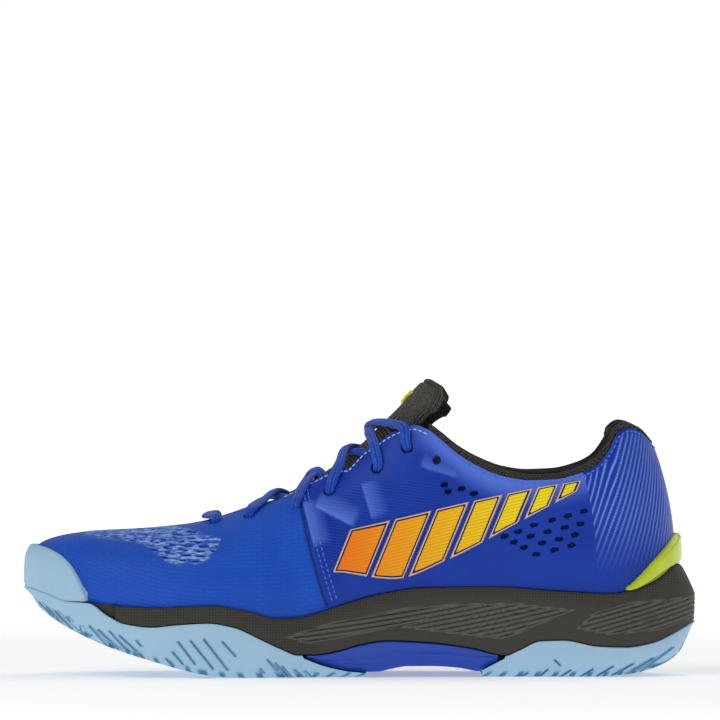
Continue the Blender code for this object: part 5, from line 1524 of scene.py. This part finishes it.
CLIP_WALL = 2.4
CLIP_FRONT = 119
CLIP_TOP = line_of([(117, 38.4), (123, 44), (129, 50.5), (135, 57), (140, 64), (143, 69)])
CLIP_STEP = line_of([(118, 37.8), (125, 41.6), (132, 46.6), (138, 50.4), (143, 53)])

# Clear TPU lets light in a little way, so it glows; the recessed band is painted darker, as
# painted shade.
clip_look = new_look("injected_clear_tpu", "#c4d62c", 0.22, Subsurface_Weight=0.45,
                     Subsurface_Scale=0.003, Coat_Weight=0.3, Coat_Roughness=0.12)
shade(clip_look, {"Subsurface Radius": (1.0, 1.0, 0.25)})
mask = masks_of(clip_look)
where = node(clip_look, "TexCoord")
cloud = node(clip_look, "TexNoise", {"Vector": (where, "Object"), "Scale": 70.0, "Detail": 4.0})
clip_tint = blend(clip_look, (cloud, "Fac"), "#b4c818", "#d8e646")
# Painted shade in the recessed band.
recess_shade_tint = blend(clip_look, (mask, "Red"), clip_tint, "#8a9c0c")
shade(clip_look, {"Base Color": recess_shade_tint})
emboss(clip_look, (cloud, "Fac"), 0.2, 0.0003)

clip_lateral = seam("lateral", CLIP_FRONT, CLIP_FRONT)
clip_ends = (lambda v: clip_lateral(v) - ROUND), seam("medial", CLIP_FRONT, CLIP_FRONT)
u, v = skin_grid(*clip_ends, level(0.0), height_level(CLIP_TOP), 240, 72)
plain = skin_surface(u, v)
from_top = np.linalg.norm(plain - plain[:, -1:], axis=-1)
edge_gap = np.minimum(from_top, np.minimum(u - clip_ends[0](v), clip_ends[1](v) - u))
recess = smooth_step(CLIP_STEP(plain[..., 0]) - plain[..., 2], 0, 1.1)
proud = 0.35 + (OVERLAY_PLAY + CLIP_WALL + 0.5 - 0.35) * rounded(edge_gap, 2.4) - 1.1 * recess
clip = layer("heel_cup_clip", skin(u, v, -proud), skin(u, v, -0.32), [clip_look],
             stacked(recess))
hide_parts("heel_clip")

# ------------------------------------------------------------------ side flashes
# A printed and welded film on each side: a wedge of seven slanted bars that shrinks towards
# the heel, orange to yellow, each with a dark line and a pale welded border.

FLASH_TOP = line_of([(-8, 64), (20, 70.5), (50, 77.5), (80, 83.8), (101, 87)])
FLASH_LOW = line_of([(-8, 46), (15, 43), (40, 52), (70, 68), (101, 84.5)])
BAR_STARTS = [-5.5, 12.5, 29, 44, 57.5, 69.5, 80, 89.5]
BAR_GAP = 2.0
BAR_SLANT = 0.42
BAR_HEIGHT_ZERO = 62.0
BORDER = (0.75, 1.5)
FILM_PROUD = 1.3
PRINT_STEP = 1.35

# Urethane film, screen printed: matt, with fine printed lines 1.35 mm apart.
film_look = new_look("printed_urethane_film", "#ff8a1c", 0.4)
where = node(film_look, "TexCoord")
film_mm = node(film_look, "Mapping", {"Vector": (where, "Object"),
                                      "Rotation": (0.0, math.radians(14), 0.0),
                                      "Scale": (1000.0, 1000.0, 1000.0)})
film_axes = node(film_look, "SeparateXYZ", {"Vector": (film_mm, 0)})
print_turn = node(film_look, "Math", {0: (film_axes, "Z"), 1: 2 * math.pi / PRINT_STEP},
                  operation="MULTIPLY")
print_wave = node(film_look, "Math", {0: (print_turn, 0)}, operation="SINE")
print_line = node(film_look, "MapRange", {"Value": (print_wave, 0), "From Min": 0.35,
                                          "From Max": 1.0, "To Max": 0.55})
ends_axes = node(film_look, "SeparateXYZ", {"Vector": (where, "Object")})
fade = node(film_look, "MapRange", {"Value": (ends_axes, "X"), "From Min": -0.008,
                                    "From Max": 0.075})
fade_tint = ramp(film_look, (fade, 0), "#ff7a14", "#f4e212")
line_tint = blend(film_look, (print_line, 0), (fade_tint, "Color"), "#c98a10")
shade(film_look, {"Base Color": line_tint})
emboss(film_look, (print_wave, 0), 0.25, 0.0001)
BORDER_LOOK = speckled("pale_welded_border", "#e2b890", "#f0d0aa", 0.45, 300.0, 0.03)
KEYLINE_LOOK = speckled("dark_printed_keyline", "#1c1040", "#2a1a5a", 0.45, 300.0, 0.03)

for side in SIDES:
    parts = []
    for start, stop in zip(BAR_STARTS[:-1], BAR_STARTS[1:]):
        wide = stop - start - BAR_GAP
        tall = float(FLASH_TOP(start + wide / 2) - FLASH_LOW(start + wide / 2))
        cols, rows = 6 * max(4, round(wide / 0.36 / 6)), 6 * max(2, round(tall / 0.36 / 6))
        s, t = np.meshgrid(np.linspace(0, 1, cols + 1), np.linspace(0, 1, rows + 1), indexing="ij")
        x = start + wide * s
        for _ in range(4):
            z = FLASH_LOW(x) * (1 - t) + FLASH_TOP(x) * t
            x = start + wide * s + BAR_SLANT * (z - BAR_HEIGHT_ZERO)
        u, v = find_on_skin(x.ravel(), z.ravel(), side)
        u, v = u.reshape(x.shape), v.reshape(x.shape)
        edge_gap = np.minimum(np.minimum(s, 1 - s) * wide, np.minimum(t, 1 - t) * tall)
        proud = 0.35 + (FILM_PROUD - 0.35) * rounded(edge_gap, 0.5)
        outer, inner = skin(u, v, -proud), skin(u, v, -0.25)
        if side == "medial":
            outer, inner, edge_gap = outer[::-1], inner[::-1], edge_gap[::-1]
        bar = layer("%s_flash_bar_%d" % (side, len(parts) + 1), outer, inner,
                    [film_look, BORDER_LOOK, KEYLINE_LOOK])
        centre = (edge_gap[:-1, :-1] + edge_gap[1:, 1:]) / 2
        slots = np.ones(len(bar.data.polygons), np.int32)
        slots[:centre.size] = np.where(centre < BORDER[0], 1,
                                       np.where(centre < BORDER[1], 2, 0)).ravel()
        bar.data.polygons.foreach_set("material_index", slots)
        parts.append(bar)
    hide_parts(side + "_flash")

# ------------------------------------------------------------------ stitching
# Lockstitch in polyester thread: two blue rows behind the lap of each quarter and one under
# the collar, and one pale row along each lace stay.

STITCH_PITCH = 2.5
STITCH_LENGTH = 1.75
THREAD_HALF = 0.36
COLLAR_STITCH_FRONT = 34
CAPSULE = [(-1.0, 0.25), (-0.8, 0.75), (-0.35, 1.0), (0.35, 1.0), (0.8, 0.75), (1.0, 0.25)]


def stitch_row(name, rows, look):
    """Stitches laid along lines; each row is points and the way out of the surface."""
    points, faces = [], []
    for line, out in rows:
        run = np.concatenate([[0], np.cumsum(np.linalg.norm(np.diff(line, axis=0), axis=1))])
        for spot in np.arange(STITCH_PITCH / 2, run[-1], STITCH_PITCH):
            here = np.array([np.interp(spot, run, line[:, k]) for k in range(3)])
            ahead = np.array([np.interp(spot + 0.4, run, line[:, k]) for k in range(3)])
            along = ahead - here
            size = np.linalg.norm(along)
            if size < 1e-6:
                continue
            along /= size
            up = np.array([np.interp(spot, run, out[:, k]) for k in range(3)])
            up -= along * (up @ along)
            up /= np.linalg.norm(up)
            beside = np.cross(along, up)
            first = len(points)
            for shift, girth in CAPSULE:
                for turn in np.linspace(0, 2 * math.pi, 8, endpoint=False):
                    out_way = beside * math.cos(turn) + up * math.sin(turn)
                    points.append(here + along * shift * STITCH_LENGTH / 2
                                  + out_way * THREAD_HALF * girth)
            for ring in range(len(CAPSULE) - 1):
                for k in range(8):
                    a, b = first + ring * 8 + k, first + ring * 8 + (k + 1) % 8
                    faces.append((a, b, b + 8, a + 8))
            faces.append(tuple(range(first + 7, first - 1, -1)))
            last = first + (len(CAPSULE) - 1) * 8
            faces.append(tuple(range(last, last + 8)))
    return make_piece(name, np.array(points), faces, [look])


def thread_look(name, dark, light):
    """Twisted polyester thread: glossy, with the twist showing as fine slanted bands."""
    look = new_look(name, light, 0.45, Sheen_Weight=0.15)
    coords = node(look, "TexCoord")
    twist = node(look, "TexWave", {"Vector": (coords, "Object"), "Scale": 900.0, "Distortion": 1.0},
                 bands_direction="DIAGONAL")
    tint = blend(look, (twist, "Fac"), dark, light)
    shade(look, {"Base Color": tint})
    emboss(look, (twist, "Fac"), 0.4, 0.0001)
    return look


def laid_on_skin(u, v, proud):
    line = skin(u, v, -proud)
    return line, line - skin(u, v, 1.0 - proud)


BLUE_THREAD = thread_look("blue_polyester_thread", "#1c48c0", "#6f92f4")
PALE_THREAD = thread_look("pale_polyester_thread", "#8ea6ee", "#d4defa")
for side in SIDES:
    rows = []
    for back in (2.2, 4.3):
        v = np.linspace(0.03, 0.965, 160)
        u = seam(side, *LAP_SEAM, LAP - back)(v)
        rows.append(laid_on_skin(u, v, EDGE_PROUD + 0.1))
    edge_u = np.linspace(top_u(-33, side), top_u(31, side), 240)
    rise_of = np.linalg.norm(skin_surface(edge_u, 1.0) - skin_surface(edge_u, 0.9), axis=-1)
    inset = 2.4 / rise_of * 0.1
    stitch_row(side + "_lap_stitches", rows, BLUE_THREAD)
    stay_row = laid_on_skin(edge_u, throat_edge(edge_u) - inset, QUARTER_PROUD + 0.25)
    stitch_row(side + "_stay_stitches", [stay_row], PALE_THREAD)

edge_u = np.linspace(at(COLLAR_STITCH_FRONT, "lateral") - ROUND, at(COLLAR_STITCH_FRONT, "medial"),
                     420)
rise_of = np.linalg.norm(skin_surface(edge_u, 1.0) - skin_surface(edge_u, 0.95), axis=-1)
collar_row = laid_on_skin(edge_u, 1.0 - 1.5 / rise_of * 0.05, QUARTER_PROUD + 0.05)
stitch_row("collar_stitches", [collar_row], BLUE_THREAD)
